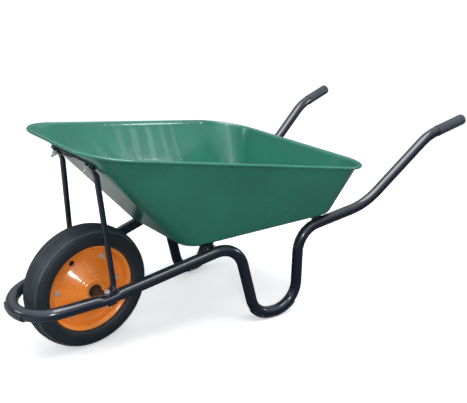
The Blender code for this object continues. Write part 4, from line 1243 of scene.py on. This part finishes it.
strap()
for side, label in SIDES:
    place = front_place(side * FRONT_BOLT_X)
    stay(side, label, place)

    seat = Place(AXLE + vec(side * SEAT_X, 0, 0), SEAT_UP)
    tab_top = SEAT_TOP + GAP + 2 * TAB_B - 0.15
    hex_bolt("axle_bolt_" + label, seat, head_top=tab_top + 5.4, seat=tab_top + 0.05, tip=-16.5,
             thread_from=-3.0)
    washer("axle_washer_" + label, seat, -4.75, -3.15, outer=8.5)
    nut("axle_nut_" + label, seat, -11.4, -4.85)
    dome_bolt("front_bolt_" + label, place, tip=27.0, thread_from=12.0)
    face = SHEET + 2 * GAP + STRAP_T + 2 * TAB_B
    washer("front_washer_" + label, place, face, face + 1.6, outer=9.0)
    nut("front_nut_" + label, place, face + GAP + 1.5, face + GAP + 1.5 + NUT_H)
    sleeve(side, label)
axle()

# ============================================================================
#  wheel
# ============================================================================
# Half of the tyre's outside, from the tread's middle to the bead: (x, radius, corner radius)
TYRE_HALF = (
    (0.0, 168.3, 0), (16.0, 167.0, 30), (28.0, 163.4, 16), (33.6, 160.6, 1.6),
    (35.2, 157.6, 1.2), (34.9, 155.2, 1.6), (37.9, 150.5, 10), (40.2, 140.0, 24),
    (39.4, 130.0, 14), (36.4, 123.0, 2.0), (34.6, 121.2, 1.6), (29.6, 118.7, 0))
TYRE_SEAT = [(26.4, 118.7), (26.4, 116.6), (21.2, 111.3), (8.0, 108.3)]  # (x, radius)
GROOVE_PITCH, GROOVE_DEPTH = 4.4, 1.1

# Disc's outer face from the rim to the hub: (x, radius, corner radius)
DISC_OUTSIDE = (
    (28.9, 118.2, 0), (28.9, 115.2, 2.2), (22.4, 108.6, 5.0), (8.5, 105.4, 3.0),
    (4.0, 103.0, 4.0), (2.4, 98.5, 4.0), (2.4, 78.0, 10.0), (7.0, 72.0, 14.0),
    (20.0, 56.0, 120.0), (29.6, 43.4, 0.9), (32.4, 41.8, 0.9), (33.2, 39.4, 0.9),
    (35.9, 35.9, 0.9), (38.2, 34.9, 0.9), (39.0, 32.6, 0.9), (40.8, 30.2, 0.9),
    (43.2, 28.9, 0.9), (43.6, 26.0, 0.9), (43.6, 20.2, 0))
# Its inner face back to the rim: (x, radius)
DISC_INSIDE = [
    (41.6, 20.2), (41.6, 24.0), (38.8, 27.2), (30.4, 38.6), (18.4, 54.6), (5.6, 70.4),
    (0.3, 77.2), (0.3, 99.2), (2.2, 104.6), (7.6, 107.6), (21.4, 110.6), (26.8, 116.0),
    (26.8, 118.2)]
VALVE_ANGLE, VALVE_AT, VALVE_R = math.radians(120), 83.5, 8.2
DISC_BOLT_AT = 86.0
DISC_FACE = 2.45


def tyre():
    points = round_corners([row[:2] for row in TYRE_HALF], [row[2] for row in TYRE_HALF],
                           step=math.radians(4))
    half = []
    for x, r in subdivide(points, lambda p: 0.55 if p.y > 156.5 else 2.2):
        if r > 160.8:  # fine grooves round the tread
            phase = (x / GROOVE_PITCH + 0.5) % 1.0
            r -= GROOVE_DEPTH * smooth(0.58, 0.80, abs(2 * phase - 1))
        if 141.0 < r < 143.4:  # two moulded lines round the sidewall
            x += 0.35 * math.sin(math.pi * (r - 141.0) / 2.4)
        if 124.0 < r < 126.0:
            x += 0.30 * math.sin(math.pi * (r - 124.0) / 2.0)
        half.append((x, r))
    full = sided(half[:0:-1], -1) + half + TYRE_SEAT + sided(TYRE_SEAT[::-1], -1)
    lathe("tyre_rubber", full[::-1], "tyre", seg=220, sharp=45)


def cut_valve_hole(disc):
    y, z = VALVE_AT * math.cos(VALVE_ANGLE), VALVE_AT * math.sin(VALVE_ANGLE)
    middle = vec(0, (y + AXLE_Y) * MM, (AXLE_Z + z) * MM)
    mesh = bpy.data.meshes.new("hole_tool")
    bm = bmesh.new()
    bmesh.ops.create_cone(bm, cap_ends=True, segments=48, radius1=VALVE_R * MM,
                          radius2=VALVE_R * MM, depth=30 * MM,
                          matrix=Matrix.Translation(middle) @ Matrix.Rotation(math.pi / 2, 4, "Y"))
    bm.to_mesh(mesh)
    bm.free()
    tool = bpy.data.objects.new("hole_tool", mesh)
    bpy.context.scene.collection.objects.link(tool)
    mod = disc.modifiers.new("valve", "BOOLEAN")
    mod.operation, mod.solver, mod.object = "DIFFERENCE", "EXACT", tool
    bpy.context.view_layer.update()
    evaluated = disc.evaluated_get(bpy.context.evaluated_depsgraph_get())
    cut = bpy.data.meshes.new_from_object(evaluated)
    disc.modifiers.remove(mod)
    disc.data = cut
    bpy.data.objects.remove(tool, do_unlink=True)


def wheel_disc(side, label):
    points = round_corners([row[:2] for row in DISC_OUTSIDE], [row[2] for row in DISC_OUTSIDE],
                           step=math.radians(7))
    profile = sided(subdivide(points, lambda p: 2.6) + DISC_INSIDE, side)
    cut_valve_hole(lathe("disc_" + label, profile, "wheel_disc_" + label, seg=192, sharp=40))


def bush(side, label):
    """Flanged bush in the end of the hub."""
    profile = round_corners(
        [(24.0, 7.2), (24.0, 15.6), (43.7, 15.6), (43.7, 17.6), (45.7, 17.6), (45.7, 7.2)],
        [0, 0.6, 0.3, 0.6, 0.9, 0.8], closed=True)
    lathe("bush_" + label, sided(profile, side), "hub_bush_" + label, seg=72)


tyre()
for side, label in SIDES:
    wheel_disc(side, label)
    bush(side, label)
lathe("hub_pipe", [(-42.8, 16.0), (-42.8, 19.0), (42.8, 19.0), (42.8, 16.0)], "hub_tube", seg=72)

# Every 60 degrees but for the valve hole's place
for i, degrees in enumerate((0, 60, 180, 240, 300)):
    a = math.radians(degrees)
    cos, sin = math.cos(a), math.sin(a)
    place = Place(AXLE + vec(0, DISC_BOLT_AT * cos, DISC_BOLT_AT * sin), vec(1, 0, 0),
                  vec(0, cos, sin))
    hex_bolt("disc_bolt_" + str(i + 1), place, head_top=DISC_FACE + 5.3, seat=DISC_FACE,
             tip=-13.0, thread_from=-9.0)
    nut("disc_nut_" + str(i + 1), place, -DISC_FACE - 6.5, -DISC_FACE)

# Any CAD node still shown takes its slot's material
for name, obj in frame["nodes"].items():
    if not obj.hide_render:
        obj.data.materials.clear()
        obj.data.materials.append(SLOT_MATERIAL[NODE_SLOT[name]])


# ============================================================================
#  stage, light, camera
# ============================================================================
def floor_material():
    """Pale matt floor, bright to the camera and dimmer in the reflections of the enamel."""
    mat = Material("pale_floor", (0.9, 0.9, 0.9))
    rays = mat.add("LightPath")
    position = mat.add("NewGeometry").outputs["Position"]
    away = mat.ramp(mat.vector_math("LENGTH", position), over=(0.9, 3.2))
    pale = mat.mix(mat.ramp(mat.noise(scale=3.0), over=(0.3, 0.7)),
                   (0.885, 0.885, 0.885), (0.90, 0.90, 0.90))
    seen = mat.mix(away, pale, (0.0, 0.0, 0.0))
    x, y = mat.component(position, 0), mat.component(position, 1)
    # brighter in reflections towards -x and -y
    ahead = mat.ramp(mat.times(mat.plus(x, y), -0.7), over=(0.15, 0.75))
    mirrored = mat.mix(ahead, (0.05, 0.05, 0.055), (0.30, 0.295, 0.285))
    unseen = mat.mix(rays.outputs["Is Glossy Ray"], (0.55, 0.55, 0.55), mirrored)
    camera_ray = rays.outputs["Is Camera Ray"]
    glow = mat.times(camera_ray, mat.ramp(away, over=(0.0, 1.0), to=(0.42, 1.02)))
    return mat.finish(Base_Color=mat.mix(camera_ray, unseen, seen), Roughness=0.8,
                      Specular_IOR_Level=0.0, Emission_Color=(1.0, 1.0, 1.0),
                      Emission_Strength=glow)


def stage_floor():
    mesh = bpy.data.meshes.new("floor")
    bm = bmesh.new()
    bmesh.ops.create_grid(bm, x_segments=1, y_segments=1, size=40.0)
    bm.to_mesh(mesh)
    bm.free()
    floor = bpy.data.objects.new("floor", mesh)
    bpy.context.scene.collection.objects.link(floor)
    mesh.materials.append(floor_material())
    floor.location.z = -0.0005


def studio_world():
    """Sky that brightens upwards, with a soft lobe on one side; plain white to the camera."""
    world = bpy.data.worlds.new("studio")
    bpy.context.scene.world = world
    world.use_nodes = True
    nodes = Nodes(world.node_tree)
    output = nodes.add("OutputWorld")
    background = nodes.add("Background", Strength=1.0)
    nodes.put(output.inputs[0], background.outputs[0])
    direction = nodes.add("TexCoord").outputs["Generated"]
    sky = nodes.add("ValToRGB", Fac=nodes.component(direction, 2))
    stops = sky.color_ramp.elements
    stops[0].position = 0.0
    stops[0].color = (0.09, 0.10, 0.12, 1)
    stops[1].position = 0.95
    stops[1].color = (1.0, 1.02, 1.06, 1)
    stops.new(0.28).color = (0.22, 0.24, 0.28, 1)
    rays = nodes.add("LightPath")
    lobe = nodes.ramp(nodes.vector_math("DOT_PRODUCT", direction, (0.74, -0.60, 0.30)),
                      over=(0.62, 0.86))
    lit = nodes.mix(lobe, sky.outputs[0], (0.18, 0.20, 0.23), blend="ADD")
    colour = nodes.mix(rays.outputs["Is Camera Ray"], lit, (1.0, 1.0, 1.0))
    nodes.put(background.inputs[0], colour)


def area(name, at, aim, size, power, rgb):
    """Rectangular light at a point, aimed at another."""
    light = bpy.data.lights.new(name, "AREA")
    light.shape = "RECTANGLE"
    light.size, light.size_y = size
    light.energy = power
    light.color = rgb
    obj = bpy.data.objects.new(name, light)
    bpy.context.scene.collection.objects.link(obj)
    obj.location = at
    obj.rotation_mode = "QUATERNION"
    obj.rotation_quaternion = (Vector(at) - Vector(aim)).to_track_quat("Z", "Y")


def camera():
    data = bpy.data.cameras.new("camera")
    obj = bpy.data.objects.new("camera", data)
    bpy.context.scene.collection.objects.link(obj)
    data.sensor_width = 36.0
    data.sensor_fit = "HORIZONTAL"
    data.lens = 50.646681
    data.clip_start = 0.02
    data.clip_end = 200.0
    obj.matrix_world = Matrix((
        (0.65402085, -0.28333527, 0.70141137, 1.41070926),
        (0.75440979, 0.17579892, -0.63242435, -0.767176 + AXLE_Y * MM),
        (0.05588075, 0.94277036, 0.32872704, 0.96862811),
        (0, 0, 0, 1)))
    bpy.context.scene.camera = obj


stage_floor()
studio_world()
area("key_overhead", at=(0.5, -0.2, 3.2), aim=(0, 0, 0.2), size=(2.0, 2.6), power=85,
     rgb=(1.0, 0.99, 0.97))
area("side_soft", at=(3.0, -2.4, 2.0), aim=(0, 0, 0.35), size=(0.55, 0.55), power=38,
     rgb=(0.98, 0.99, 1.0))
area("front_soft", at=(-1.6, -3.2, 1.6), aim=(0, -0.2, 0.35), size=(1.0, 0.8), power=12,
     rgb=(1.0, 1.0, 1.0))
area("rear_panel", at=(1.75, 3.3, 1.25), aim=(-0.2, 0.1, 0.45), size=(0.55, 0.5), power=12,
     rgb=(0.97, 0.99, 1.0))
camera()

view = bpy.context.scene.view_settings
view.view_transform = "Standard"
view.look = "None"
view.exposure = 0.0
view.gamma = 1.0
